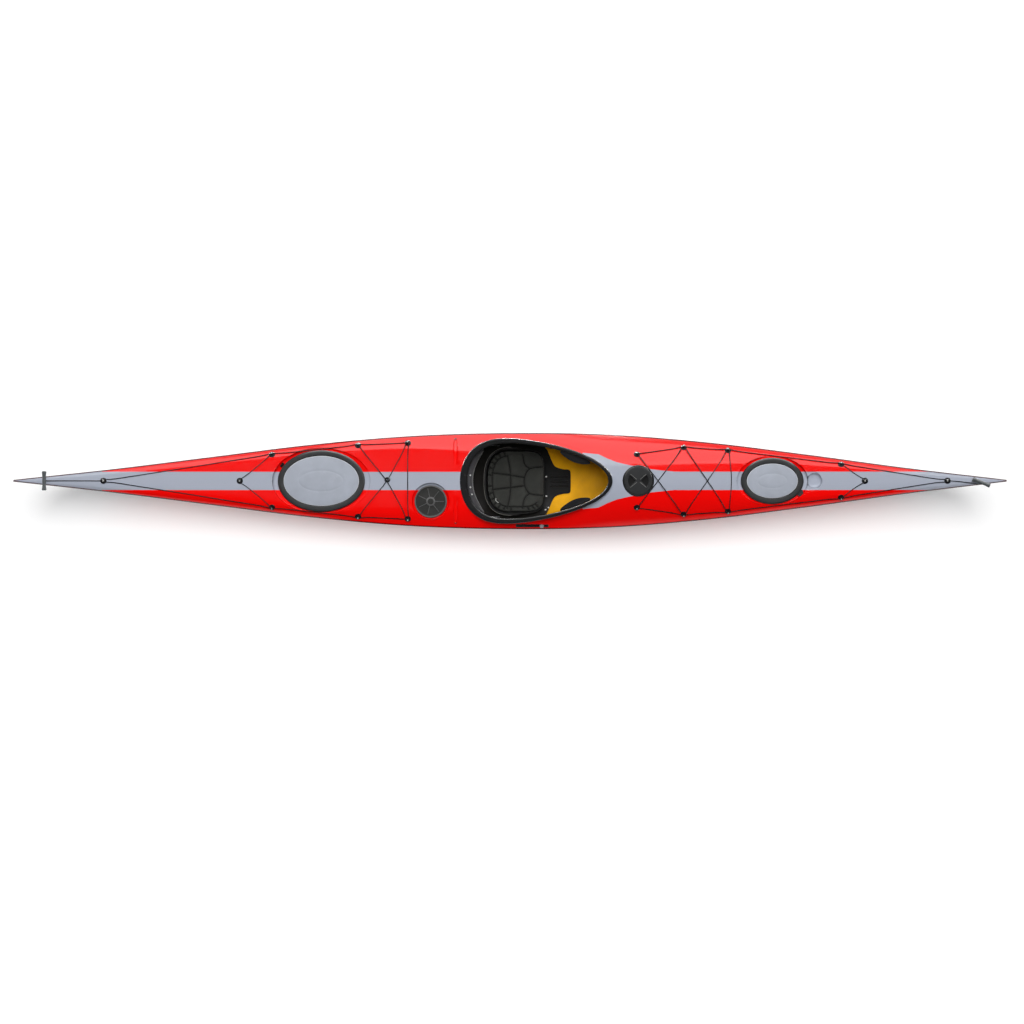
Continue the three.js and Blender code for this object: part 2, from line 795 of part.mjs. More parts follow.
function screwLid() {
  const edge = screwHatch.radius - screwRim.wall - lidGap - fitGap;
  const flange = screwRim.ledge + sealHeight + 2 * fitGap;
  const plug = podRadius - lidGap;
  let lid = solid(turned([
    [0, 0],
    [plug - lidPlug.wall, 0],
    [plug - lidPlug.wall, -lidPlug.drop],
    [plug, -lidPlug.drop],
    [plug, flange],
    [edge, flange],
    [edge, lidTop - screwRim.round * 2],
    [edge - screwRim.round * 2, lidTop - screwRim.round],
    [0, lidTop],
  ]));
  for (const side of [0, Math.PI]) {
    const { inner: near, outer: far, halfAngle, depth } = fingerRecess;
    const points = [[near * Math.cos(side), near * Math.sin(side)]];
    for (let i = -3; i <= 3; i++) {
      const angle = side + (halfAngle * i) / 3;
      points.push([far * Math.cos(angle), far * Math.sin(angle)]);
    }
    lid = lid.subtract(column(points, lidTop - depth, lidTop + overrun));
  }
  return lid;
}

// Deck fittings and cords

function deckFitting(x, y) {
  const shape = turned([
    [0, -flangeSink],
    [flangeRadius, -flangeSink],
    [flangeRadius, flangeRise / 2],
    [postRadius, flangeRise],
    [postRadius, capRise],
    [capRadius, capRise],
    [0, capRise + capDome],
  ], 8);
  return solid(shape.applyMatrix4(deckMatrix(x, y))).subtract(seatForFittings);
}

const raised = stations.map((row) => ({ ...row, sheer: row.sheer + cordGap }));
const seatForFittings = deckBody(raised, 0, 0);

const flat = (vector) => new THREE.Vector2(vector.x, vector.y);

// A cord laced round deck fittings. Each stop has a place and a layer; each run has a lift over the deck.
function lacing(stops, runs) {
  const points = [];
  for (let i = 0; i < stops.length; i++) {
    const stop = stops[i];
    const here = new THREE.Vector2(stop.x, stop.y);
    const arriving = i > 0 ? here.clone().sub(flat(stops[i - 1])).normalize() : null;
    const leaving = i < stops.length - 1 ? flat(stops[i + 1]).clone().sub(here).normalize() : null;
    points.push(...roundFitting(stop, arriving, leaving));
    if (leaving) {
      points.push(...overDeck(stop, stops[i + 1], runs[i]));
    }
  }
  return points;
}

const turnStep = 0.7;
const turnSagShare = 0.357;

function roundFitting(stop, arriving, leaving) {
  const { point, along, across, normal } = deckFrame(stop.x, stop.y);
  const centre = point.clone().addScaledVector(normal, stop.layer);
  const place = (direction, radius) => centre.clone()
    .addScaledVector(along, direction.x * radius)
    .addScaledVector(across, direction.y * radius);
  if (stop.free) {
    return [centre];
  }
  if (!arriving) {
    return [place(leaving, turnRadius)];
  }
  if (!leaving) {
    return [place(arriving.clone().negate(), turnRadius)];
  }
  const side = Math.sign(arriving.cross(leaving)) || 1;
  const first = Math.atan2(-arriving.x * side, arriving.y * side);
  const turn = Math.acos(THREE.MathUtils.clamp(arriving.dot(leaving), -1, 1)) * side;
  const steps = Math.ceil(Math.abs(turn) / turnStep);
  const ring = [];
  for (let i = 0; i <= steps; i++) {
    const angle = first + (turn * i) / Math.max(steps, 1);
    ring.push(place(new THREE.Vector2(Math.cos(angle), Math.sin(angle)), turnRadius / Math.cos(turnStep * turnSagShare)));
  }
  return ring;
}

const nearShare = 0.2;
const clearOfFlange = 2.2 * flangeRadius;

function overDeck(from, to, run) {
  const points = [];
  const length = Math.hypot(to.x - from.x, to.y - from.y);
  const first = Math.min(nearShare, clearOfFlange / length);
  for (let i = 0; i <= run.steps; i++) {
    const share = first + ((1 - 2 * first) * i) / run.steps;
    const x = from.x + (to.x - from.x) * share + (run.bow ?? 0) * Math.sin(Math.PI * share);
    const y = from.y + (to.y - from.y) * share;
    points.push(onDeck(x, y, run.lift));
  }
  return points;
}

function stopAt(name, side, layer) {
  const pair = fittingPairs.find((fitting) => fitting.name === name);
  if (pair) {
    return { x: pair.x, y: pair.y * side, layer };
  }
  const centre = fittingCentres.find((fitting) => fitting.name === name);
  return { x: centre.x, y: 0, layer };
}

function cordOf(route) {
  return tube(route, cordRadius, 8);
}

function perimeterLine(names, end, steps) {
  const port = names.map((name) => stopAt(name, 1, lowLayer));
  const starboard = names.map((name) => stopAt(name, -1, lowLayer));
  const stops = [...port, stopAt(end, 1, lowLayer), ...starboard.reverse()];
  const runs = [...steps, ...steps.slice().reverse()].map((count) => ({ lift: restLift, steps: count }));
  return cordOf(lacing(stops, runs));
}

function smallBungee(pair, centre) {
  const stops = [stopAt(pair, 1, highLayer), stopAt(centre, 1, lowLayer), stopAt(pair, -1, highLayer)];
  return cordOf(lacing(stops, [{ lift: restLift, steps: 2 }, { lift: restLift, steps: 2 }]));
}

function frontBungee() {
  const order = [['pod', 1], ['chart', -1], ['front', 1], ['front', -1], ['chart', 1], ['pod', -1]];
  const stops = order.map(([name, side]) => stopAt(name, side, highLayer));
  const runs = [
    { lift: hatchOverLift, steps: 8 },
    { lift: crownLift, steps: 8 },
    { lift: crownLift, steps: 8, bow: frontBungeeBow },
    { lift: overLift + deckGap, steps: 8 },
    { lift: hatchLift, steps: 8 },
  ];
  return cordOf(lacing(stops, runs));
}

function rearBungee() {
  const crossing = (layer) => ({ x: crossingX, y: 0, layer, free: true });
  const stops = [
    stopAt('rear', 1, highLayer),
    crossing(overLift),
    stopAt('day', -1, highLayer),
    stopAt('day', 1, highLayer),
    crossing(restLift),
    stopAt('rear', -1, highLayer),
  ];
  const runs = [
    { lift: overLift, steps: 3 },
    { lift: overLift, steps: 3 },
    { lift: restLift, steps: 6 },
    { lift: restLift, steps: 3 },
    { lift: restLift, steps: 3 },
  ];
  const olive = new THREE.SphereGeometry(1, 8, 5);
  const middle = onDeck(crossingX, 0, (restLift + overLift) / 2);
  olive.scale(oliveRadius, oliveLength / 2, oliveRadius * 0.6);
  olive.translate(middle.x, middle.y, middle.z);
  return cordOf(lacing(stops, runs)).add(solid(olive));
}

// Carry toggles

function toggleBar(toggle) {
  const { length, radius, turn, lift } = toggle;
  const bar = turned([
    [0, -length / 2],
    [radius - toggleWaist, -length / 2],
    [radius, -length / 2 + toggleWaist],
    [radius - toggleWaist, -length / 4],
    [radius - toggleWaist, length / 4],
    [radius, length / 2 - toggleWaist],
    [radius - toggleWaist, length / 2],
    [0, length / 2],
  ], 12);
  return solid(bar.rotateX(Math.PI / 2).rotateZ(turn).translate(0, toggle.y, lift));
}

function toggleCord(x, route) {
  const start = onDeck(x + Math.sign(x) * toggleHinge, 0, toggleHingeLift);
  const points = route.map(([along, y, lift]) => onDeck(along, 0, lift).setY(y));
  return cordOf([start, ...points]);
}

// Seat

function seatPoint(angle, inset) {
  const cos = Math.cos(angle);
  const sin = Math.sin(angle);
  const power = cos >= 0 ? seat.frontPower : seat.rearPower;
  const reach = cos >= 0 ? seat.front : seat.rear;
  const bend = (value) => Math.sign(value) * Math.abs(value) ** (2 / power);
  return [seat.x + (reach - inset) * bend(cos), (seat.halfWidth - inset) * bend(sin)];
}

const seatSides = 30;

function seatRings(rows) {
  return rows.map(([inset, z, share = 1]) => {
    const ring = [];
    for (let i = 0; i < seatSides; i++) {
      const angle = (i / seatSides) * 2 * Math.PI;
      const [x, y] = seatPoint(angle, inset);
      ring.push(at(seat.x + (x - seat.x) * share, y * share, z));
    }
    return ring;
  });
}

function seatPan() {
  const floor = shellWall + fitGap + touch;
  const outerRoom = hullBody(inner, floor, 0);
  const innerRoom = hullBody(inner, floor + seatWall, 0);
  const middle = seatRimHeight / 2;
  const outside = skin(seatRings([
    [seatTaper, 0],
    [seatTaper / 2, middle],
    [seatWall, seatRimHeight - seatWall],
    [-seatRimWidth + seatWall, seatRimHeight - seatWall],
    [-seatRimWidth + seatWall, seatRimHeight],
  ]));
  const inside = skin(seatRings([
    [seatTaper + seatWall, 0],
    [seatTaper / 2 + seatWall, middle],
    [2 * seatWall, seatRimHeight - seatWall],
    [2 * seatWall, seatRimHeight + overrun],
  ]));
  const tub = outside.intersect(outerRoom).subtract(inside.intersect(innerRoom));
  const lowFront = slab([
    [seat.x, seatRimHeight],
    [seat.x + seat.front, seatFrontHeight],
    [seat.x + seat.front + overrun, seatFrontHeight],
    [seat.x + seat.front + overrun, seatRimHeight + overrun],
    [seat.x, seatRimHeight + overrun],
  ], -hullBeam / 2, hullBeam / 2);
  const half = [
    [apron.rear, apron.side], [apron.sideX, apron.side], [apron.midX, apron.mid],
    [apron.neckX, apron.neck], [apron.front - seatWall, apron.half], [apron.front, apron.half - 2 * seatWall],
  ];
  const mirrored = half.map(([x, y]) => [x, -y]).reverse();
  const thinRoom = hullBody(inner, floor + apronThickness, 0);
  const plan = column([...half, ...mirrored], 0, apronRise);
  const hollow = skin(seatRings([[seatTaper, 0], [seatTaper / 2 + touch, middle], [seatWall, seatRimHeight]]));
  let pan = tub.subtract(lowFront).add(plan.intersect(outerRoom).subtract(thinRoom).subtract(hollow));
  for (let i = 0; i < ridge.count; i++) {
    const y = (i - (ridge.count - 1) / 2) * ridge.pitch;
    const bar = box(ridge.front - ridge.rear, ridge.width, ridge.rise, (ridge.front + ridge.rear) / 2, y, ridge.rise / 2);
    pan = pan.add(bar.intersect(outerRoom));
  }
  for (const side of [-1, 1]) {
    const ends = [side * (seatHalfAt(pivot.x) - 2 * seatWall + touch), side * (armPlace + pivot.arm + fitGap)];
    pan = pan.add(rodAlongY(pivot.x, pivot.z, pivot.radius, Math.min(...ends), Math.max(...ends)));
  }
  return pan;
}

// Half the width of the seat's outline at a place behind its widest point.
function seatHalfAt(x) {
  const share = Math.abs(x - seat.x) / seat.rear;
  return seat.halfWidth * (1 - share ** seat.rearPower) ** (1 / seat.rearPower);
}

const armPlace = seat.halfWidth + seatRimWidth + 2 * fitGap;
const padInset = seatTaper / 2 + seatWall + padClearance;

function padShare(x, y) {
  const front = x >= seat.x;
  const power = front ? seat.frontPower : seat.rearPower;
  const reach = (front ? seat.front : seat.rear) - padInset;
  const wide = seat.halfWidth - padInset;
  return (Math.abs((x - seat.x) / reach) ** power + Math.abs(y / wide) ** power) ** (1 / power);
}

function padHeight(share) {
  return padEdgeHeight - padHollow * (1 - Math.min(share / 0.9, 1) ** 2);
}

// A sewn channel drawn over the seat pad through places in plan.
function channel(places, steps) {
  const curve = new THREE.CatmullRomCurve3(places.map(([x, y]) => at(x, y, 0)));
  const points = curve.getPoints(steps).map((point) => point.setZ(padHeight(padShare(point.x, point.y)) + 1));
  return tube(points, channelRadius, 6);
}

const channels = [
  { places: [[-98, 47], [0, 34], [84, 20]], steps: 3 },
  { places: [[-98, -48], [0, -36], [84, -26]], steps: 3 },
  { places: [[-11, 142], [5, 50], [5, -60], [-11, -150]], steps: 7 },
  { places: [[72, 150], [84, 96], [110, 70]], steps: 4 },
  { places: [[72, -150], [84, -96], [110, -70]], steps: 4 },
  { places: [[182, 80], [108, 66], [82, 0], [108, -66], [182, -80]], steps: 12 },
];

function seatPad() {
  const share = (part) => [padInset, padHeight(part), part];
  const pad = skin(seatRings([
    [padInset + seatTaper / 2, 0],
    [padInset, seatRimHeight / 2],
    [padInset, padEdgeHeight - seatWall],
    [padInset + seatWall, padEdgeHeight],
    share(0.9),
    share(0.78),
    share(0.6),
    share(0.3),
    share(0),
  ]));
  const room = hullBody(inner, shellWall + seatWall + 2 * fitGap + 2 * touch, 0);
  let cushion = pad.intersect(room);
  for (const { places, steps } of channels) {
    cushion = cushion.subtract(channel(places, steps));
  }
  const border = [];
  const borderSteps = 14;
  for (let i = 0; i <= borderSteps; i++) {
    const angle = Math.PI * (0.56 + (0.88 * i) / borderSteps);
    const [x, y] = seatPoint(angle, padInset + padRim);
    border.push(at(x, y, padHeight(padShare(x, y)) + 1));
  }
  return cushion.subtract(tube(border, channelRadius, 6));
}

// Backrest, an upright band bent to an arc

function backrestPoint(angle, radius, z) {
  return at(backrest.x - radius * Math.cos(angle), radius * Math.sin(angle), z);
}

const bandSteps = 14;

function backrestPad() {
  const rings = [];
  for (let i = 0; i <= bandSteps; i++) {
    const share = (2 * i) / bandSteps - 1;
    const angle = backrestHalfAngle * share;
    const drawn = 1 - 0.35 * share ** 6;
    const top = backrest.top - backrest.drop * share ** 2;
    const height = (top - backrest.bottom) * drawn;
    const middle = (top + backrest.bottom) / 2;
    const depth = (backrest.thickness / 2) * drawn;
    const soft = backrest.crown * 1.5;
    const rows = [
      [depth, -height / 2 + soft],
      [depth + 0, height / 2 - soft],
      [depth - soft, height / 2],
      [-depth + soft, height / 2],
      [-depth, height / 2 - soft],
      [-depth - backrest.crown, 0],
      [-depth, -height / 2 + soft],
      [-depth + soft, -height / 2],
      [depth - soft, -height / 2],
    ];
    rings.push(rows.map(([out, up]) => backrestPoint(angle, backrest.radius + out, middle + up)));
  }
  return skin(rings);
}

function backrestFrame() {
  const near = backrest.radius + backrest.thickness / 2 + fitGap + touch;
  const far = near + spine.thickness;
  const reach = Math.asin((armPlace + pivot.arm / 2) / (near + spine.thickness / 2));
  const rings = [];
  for (let i = 0; i <= bandSteps; i++) {
    const angle = reach * ((2 * i) / bandSteps - 1);
    const corners = [[near, 0], [far, 0], [far, spine.height], [near, spine.height]];
    rings.push(corners.map(([radius, up]) => backrestPoint(angle, radius, spine.bottom + up)));
  }
  let frame = skin(rings);
  const rear = backrest.x - near * Math.cos(reach);
  for (const side of [-1, 1]) {
    const low = side > 0 ? armPlace : -armPlace - pivot.arm;
    const arm = slab([
      [rear - spine.thickness, spine.bottom + spine.height],
      [rear - spine.thickness, spine.bottom],
      [pivot.x - pivot.eye, pivot.z - pivot.eye / 2],
      [pivot.x, pivot.z - pivot.eye],
      [pivot.x + pivot.eye, pivot.z],
      [pivot.x, pivot.z + pivot.eye],
    ], low, low + pivot.arm);
    const hole = rodAlongY(pivot.x, pivot.z, pivot.radius + pivot.play, low - overrun, low + pivot.arm + overrun);
    frame = frame.add(arm).subtract(hole.intersect(box(hullLength, sky, sky, 0, side * sky / 2, 0)));
  }
  return frame;
}

// Thigh braces, under the coaming's riser

function thighBrace(side) {
  const steps = 8;
  const edge = [];
  for (let i = 0; i <= steps; i++) {
    const share = i / steps;
    const x = brace.rear + (brace.front - brace.rear) * share;
    const cos = (x / (coamingFront - frontRimWidth - shellWall)) ** (coamingFrontPower / 2);
    const riser = (coamingHalfWidth - frontRimWidth - shellWall) * Math.sqrt(1 - cos ** 2);
    edge.push([x, side * (riser - brace.root - brace.reach * Math.sin(Math.PI * share) ** brace.bendPower)]);
  }
  const outer = [[brace.front, side * halfBeam], [brace.rear, side * halfBeam]];
  const top = coamingTop((brace.rear + brace.front) / 2) - brace.drop;
  const plate = column([...edge, ...outer], top - brace.thickness, top);
  return plate.intersect(column(coamingOutline(shellWall + fitGap), 0, sky));
}

// Footrests

// Half the width between the hull's inner walls at a place and height.
function wallAt(x, z) {
  const row = hullHalf(station(x), shellWall, station(x).sheer);
  let k = 0;
  while (k < row.length - 2 && row[k + 1][1] < z) {
    k++;
  }
  const share = (z - row[k][1]) / (row[k + 1][1] - row[k][1]);
  return row[k][0] + (row[k + 1][0] - row[k][0]) * share;
}

// The place of a rail's middle, turned along the line between its two ends.
function railPlace(side) {
  const rear = wallAt(rail.x, rail.z);
  const front = wallAt(rail.x + rail.length, rail.z);
  const middle = (rear + front) / 2 - rail.depth / 2;
  const turned = new THREE.Matrix4().makeRotationZ(Math.atan2(front - rear, rail.length) * side);
  return turned.setPosition(rail.x + rail.length / 2, side * middle, rail.z);
}

function footrestRail(side) {
  const bar = block(rail.length, rail.depth * 3, rail.height, 0, side * rail.depth, 0);
  const room = hullBody(inner, shellWall + fitGap + touch, 0);
  return solid(bar.applyMatrix4(railPlace(side))).intersect(room);
}

function footPedal(side) {
  const face = -side * (rail.depth / 2 + fitGap);
  const back = face - side * pedal.thickness;
  const shoe = box(pedal.block, pedal.thickness, rail.height + pedal.thickness, pedal.along, (face + back) / 2, 0);
  const middle = back - side * (pedal.reach / 2 - touch);
  const plate = box(pedal.thickness, pedal.reach, pedal.height, pedal.along, middle, pedal.rise);
  return shoe.add(plate);
}

// Bulkheads

function bulkhead(x) {
  const plate = box(bulkheadThickness, hullBeam, sky, x, 0, sky / 2);
  const hole = cablePoint(x);
  const gland = solid(new THREE.CylinderGeometry(glandRadius, glandRadius, 4 * bulkheadThickness, 10)
    .rotateZ(Math.PI / 2).translate(x, hole.y, hole.z));
  const cut = plate.intersect(roomInside(shellWall + fitGap + touch));
  return x < cable.front ? cut.subtract(gland) : cut;
}

// Skeg and its control

function skegBox() {
  const inside = skeg.thickness / 2 + skeg.play;
  const outsideHalf = inside + skeg.boxWall;
  const length = skeg.slotFront - skeg.slotRear;
  const middle = (skeg.slotFront + skeg.slotRear) / 2;
  const outside = box(length + 2 * skeg.boxWall, 2 * outsideHalf, skeg.boxTop, middle, 0, skeg.boxTop / 2);
  const room = box(length, 2 * inside, skeg.boxTop, middle, 0, skeg.boxTop / 2 - skeg.boxWall);
  const bore = skegPivot.radius + skegPivot.play;
  const hole = rodAlongY(skegPivot.x, skegPivot.z, bore, -outsideHalf - overrun, outsideHalf + overrun);
  return outside.intersect(hullBody(inner, shellWall + fitGap + touch, 0)).subtract(room).subtract(hole);
}

function skegBladeSolid() {
  const { root, toe, low, tip, heel, shoulderX, shoulder, crestX, crest } = skegBlade;
  const outline = new THREE.Shape();
  outline.moveTo(root * 0.7, root * 0.7);
  outline.quadraticCurveTo(root, -root, -toe, -low);
  outline.lineTo(-tip + heel, -low + heel / 2);
  outline.quadraticCurveTo(-tip, -low + heel, -tip + heel / 2, -low + 3 * heel);
  outline.lineTo(-shoulderX, shoulder);
  outline.quadraticCurveTo(-(shoulderX + crestX) / 2, crest, -crestX, crest);
  outline.quadraticCurveTo(-crestX / 2, crest, root * 0.7, root * 0.7);
  const options = { depth: skeg.thickness, bevelEnabled: false, curveSegments: 6 };
  const geometry = new THREE.ExtrudeGeometry(outline, options);
  geometry.rotateX(Math.PI / 2);
  geometry.translate(skegPivot.x, skeg.thickness / 2, skegPivot.z);
  const reach = skeg.thickness / 2 + skeg.play + skeg.boxWall;
  return solid(geometry).add(rodAlongY(skegPivot.x, skegPivot.z, skegPivot.radius, -reach, reach));
}

function cablePoint(x) {
  const wide = station(x);
  const share = THREE.MathUtils.smoothstep(x, cable.bend, cable.wide);
  const z = cable.z + (wide.sheer - cable.sheerDrop - cable.z) * share;
  return at(x, -(wide.half - cable.wallGap) * share, z);
}

function skegCable() {
  const points = [at(skeg.slotFront + skeg.boxWall + fitGap, 0, cable.z)];
  const steps = 24;
  for (let i = 0; i <= steps; i++) {
    points.push(cablePoint(cable.bend + (cable.front - cable.bend) * (i / steps)));
  }
  return tube(points, cableRadius, 8);
}

function skegTrack() {
  const body = box(track.length, track.width, track.depth, 0, 0, touch - track.depth / 2);
  const slot = box(track.length - 2 * track.end, track.slot, track.slotDepth * 2, 0, 0, 0);
  return body.subtract(slot);
}

function skegSlider() {
  const foot = track.slotDepth - 2 * fitGap;
  const shoe = box(slider.length, track.slot - 2 * fitGap, foot, slider.x, 0, -foot / 2 - fitGap);
  const knob = turned([
    [0, slider.lift],
    [slider.knob, slider.lift],
    [slider.knob, slider.rise / 2],
    [slider.knob - slider.lift, slider.rise],
    [0, slider.rise],
  ], 14).translate(slider.x, 0, 0);
  const neck = box(slider.length / 2, track.slot - 2 * fitGap, 2 * slider.knob / 3, slider.x, 0, 0);
  return shoe.add(neck).add(solid(knob));
}

// Assembly

const kayak = new THREE.Group();

function place(name, part, look, parent = kayak) {
  const { vertProperties, triVerts } = part.getMesh();
  const geometry = new THREE.BufferGeometry();
  geometry.setAttribute('position', new THREE.BufferAttribute(Float32Array.from(vertProperties), 3));
  geometry.setIndex(new THREE.BufferAttribute(Uint32Array.from(triVerts), 1));
  const mesh = new THREE.Mesh(geometry, new THREE.MeshStandardMaterial(look));
  mesh.name = name;
  parent.add(mesh);
  return mesh;
}

// A group that stands on a hatch's recess floor.
function hatchGroup(hatch) {
  const group = new THREE.Group();
  group.position.set(hatch.x, hatch.y, floorOf(hatch));
  kayak.add(group);
  return group;
}

place('hull_shell', hullShell(), finish.gelcoat);
place('deck_shell', deckShell(), finish.gelcoat);
place('cockpit_coaming', coaming(), finish.black);
place('seat_pan', seatPan(), finish.black);
place('seat_pad', seatPad(), finish.fabric);
place('backrest_frame', backrestFrame(), finish.nylon);
place('backrest_pad', backrestPad(), finish.foam);
place('port_thigh_brace', thighBrace(1), finish.black);
place('starboard_thigh_brace', thighBrace(-1), finish.black);
place('rear_bulkhead', bulkhead(rearBulkheadX), finish.bulkhead);
place('middle_bulkhead', bulkhead(middleBulkheadX), finish.bulkhead);
place('front_bulkhead', bulkhead(frontBulkheadX), finish.bulkhead);
place('port_footrest_rail', footrestRail(1), finish.alloy);
place('starboard_footrest_rail', footrestRail(-1), finish.alloy);
place('port_foot_pedal', footPedal(1), finish.nylon).applyMatrix4(railPlace(1));
place('starboard_foot_pedal', footPedal(-1), finish.nylon).applyMatrix4(railPlace(-1));
const rearGroup = hatchGroup(rearHatch);
place('rear_hatch_rim', hatchRim(rearHatch), finish.black, rearGroup);
place('rear_hatch_seal', hatchSeal(rearHatch), finish.rubber, rearGroup);
place('rear_hatch_plate', hatchPlate(rearHatch), finish.plate, rearGroup);
const frontGroup = hatchGroup(frontHatch);
place('front_hatch_rim', hatchRim(frontHatch), finish.black, frontGroup);
place('front_hatch_seal', frontSeal(), finish.rubber, frontGroup);
place('front_hatch_plate', hatchPlate(frontHatch), finish.plate, frontGroup);
const dayGroup = hatchGroup(dayHatch);
place('day_hatch_rim', hatchRim(dayHatch), finish.black, dayGroup);
place('day_hatch_cover', dayCover(), finish.rubber, dayGroup);
const screwGroup = hatchGroup(screwHatch);
place('deck_pod', screwPod(), finish.black, screwGroup);
place('screw_hatch_seal', screwSeal(), finish.rubber, screwGroup);
place('screw_hatch_lid', screwLid(), finish.black, screwGroup);
place('skeg_box', skegBox(), finish.amber);
place('skeg_blade', skegBladeSolid(), finish.nylon);
place('skeg_cable', skegCable(), finish.cord);
place('skeg_track', skegTrack(), finish.black).applyMatrix4(trackPlace());
place('skeg_slider', skegSlider(), finish.nylon).applyMatrix4(trackPlace());
for (const { name, x, y } of fittingPairs) {
  place(`${name}_deck_fitting_port`, deckFitting(x, y), finish.nylon);
  place(`${name}_deck_fitting_starboard`, deckFitting(x, -y), finish.nylon);
}
for (const { name, x } of fittingCentres) {
  place(`${name}_deck_fitting`, deckFitting(x, 0), finish.nylon);
}
place('aft_deck_line', perimeterLine(['day', 'rear', 'aft'], 'stern', [2, 3, 5]), finish.cord);
place('fore_deck_line', perimeterLine(['pod', 'chart', 'front', 'fore'], 'bow', [2, 2, 3, 4]), finish.cord);
place('aft_small_bungee', smallBungee('aft', 'aft_centre'), finish.cord);
place('fore_small_bungee', smallBungee('fore', 'fore_centre'), finish.cord);
place('rear_bungee', rearBungee(), finish.cord);
place('front_bungee', frontBungee(), finish.cord);
place('stern_toggle', toggleBar(sternToggle), finish.grip).applyMatrix4(deckMatrix(sternToggle.x, 0));
place('stern_toggle_cord', toggleCord(fittingCentres[0].x, sternCord), finish.cord);
place('bow_toggle', toggleBar(bowToggle), finish.grip).applyMatrix4(deckMatrix(bowToggle.x, 0));
place('bow_toggle_cord', toggleCord(fittingCentres[3].x, bowCord), finish.cord);

export default kayak;
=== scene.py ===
import math

import bmesh
import bpy
from mathutils import Matrix, Vector, kdtree


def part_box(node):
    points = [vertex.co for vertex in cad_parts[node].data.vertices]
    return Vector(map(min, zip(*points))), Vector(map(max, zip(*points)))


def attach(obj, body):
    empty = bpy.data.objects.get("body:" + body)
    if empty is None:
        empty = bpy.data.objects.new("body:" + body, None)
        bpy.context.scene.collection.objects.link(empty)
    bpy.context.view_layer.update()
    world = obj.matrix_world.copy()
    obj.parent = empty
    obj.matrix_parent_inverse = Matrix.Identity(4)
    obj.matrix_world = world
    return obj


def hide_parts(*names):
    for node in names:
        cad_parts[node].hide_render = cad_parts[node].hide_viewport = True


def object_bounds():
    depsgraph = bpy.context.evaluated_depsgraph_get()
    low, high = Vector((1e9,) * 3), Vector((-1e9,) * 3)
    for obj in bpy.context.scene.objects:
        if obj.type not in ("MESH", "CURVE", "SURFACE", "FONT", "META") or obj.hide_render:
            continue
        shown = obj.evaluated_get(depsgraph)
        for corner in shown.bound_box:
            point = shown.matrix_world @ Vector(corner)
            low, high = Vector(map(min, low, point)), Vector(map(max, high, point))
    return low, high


bl_info = {
    "name": "Sea kayak",
    "version": (1, 0, 0),
    "blender": (4, 5, 0),
    "location": "3D View > Sidebar > Kayak",
    "description": "Builds a sea kayak over its packed frame",
    "category": "Add Mesh",
}

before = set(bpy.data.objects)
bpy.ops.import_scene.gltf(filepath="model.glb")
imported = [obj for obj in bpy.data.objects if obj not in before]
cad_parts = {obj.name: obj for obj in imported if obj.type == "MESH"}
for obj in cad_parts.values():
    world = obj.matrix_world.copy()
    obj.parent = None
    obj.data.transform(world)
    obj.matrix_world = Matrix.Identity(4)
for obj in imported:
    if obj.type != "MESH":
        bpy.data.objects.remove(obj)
CAD_LOW, CAD_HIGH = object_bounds()
LENGTH = CAD_HIGH.x - CAD_LOW.x
HULL_LOW, HULL_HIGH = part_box("hull_shell")
BEAM = HULL_HIGH.y - HULL_LOW.y


# Sizes and colours


class HullSizes(bpy.types.PropertyGroup):
    sheer: bpy.props.FloatProperty(
        name="Sheer height", description="Height of the deck edge amidships", default=0.222, unit="LENGTH")
    crown: bpy.props.FloatProperty(
        name="Crown height", description="Rise of the deck over its edge", default=0.105, unit="LENGTH")
    wall: bpy.props.FloatProperty(
        name="Shell wall", description="Thickness of the laminate", default=0.004, unit="LENGTH")
    rocker: bpy.props.FloatProperty(
        name="Keel rocker", description="Rise of the keel towards its ends", default=0.06, unit="LENGTH")
    flat_keel: bpy.props.FloatProperty(
        name="Flat keel", description="Length of the level keel", default=1.8, unit="LENGTH")
    tip_depth: bpy.props.FloatProperty(
        name="Tip depth", description="Height of the hull at its tips", default=0.02, unit="LENGTH")
    edge_round: bpy.props.FloatProperty(
        name="Recess edge", description="Rounding of the recesses' edges", default=0.005, unit="LENGTH")


class HullColours(bpy.types.PropertyGroup):
    red: bpy.props.FloatVectorProperty(
        name="Red", description="Gelcoat of the hull and deck", default=(0.95, 0.0015, 0.0008),
        size=3, subtype="COLOR")
    grey: bpy.props.FloatVectorProperty(
        name="Grey", description="Stripe and tips", default=(0.385, 0.415, 0.495),
        size=3, subtype="COLOR")
    amber: bpy.props.FloatVectorProperty(
        name="Amber", description="Laminate inside the hull", default=(0.86, 0.41, 0.006),
        size=3, subtype="COLOR")
    black: bpy.props.FloatVectorProperty(
        name="Black", description="Coaming and hatch rims", default=(0.012, 0.012, 0.013),
        size=3, subtype="COLOR")
    stripe: bpy.props.FloatProperty(
        name="Stripe half width", description="Half the width of the stripe", default=0.05, unit="LENGTH")


class HatchSizes(bpy.types.PropertyGroup):
    rubber_width: bpy.props.FloatProperty(
        name="Rubber width", description="Width of the rubber ring of a cover", default=0.032, unit="LENGTH")
    rubber_rise: bpy.props.FloatProperty(
        name="Rubber rise", description="Height of the rubber in its recess", default=0.022, unit="LENGTH")
    ledge_rise: bpy.props.FloatProperty(
        name="Ledge rise", description="Height of the ledge under the plate", default=0.016, unit="LENGTH")
    plate_dome: bpy.props.FloatProperty(
        name="Plate dome", description="Rise of the plate at its middle", default=0.005, unit="LENGTH")
    rim_inset: bpy.props.FloatProperty(
        name="Rim inset", description="Rim's place inside the rubber's edge", default=0.02, unit="LENGTH")
    rim_rise: bpy.props.FloatProperty(
        name="Rim rise", description="Height of the rim in its recess", default=0.012, unit="LENGTH")
    sides: bpy.props.IntProperty(
        name="Sides", description="Sides of each hatch oval", default=112, min=24)


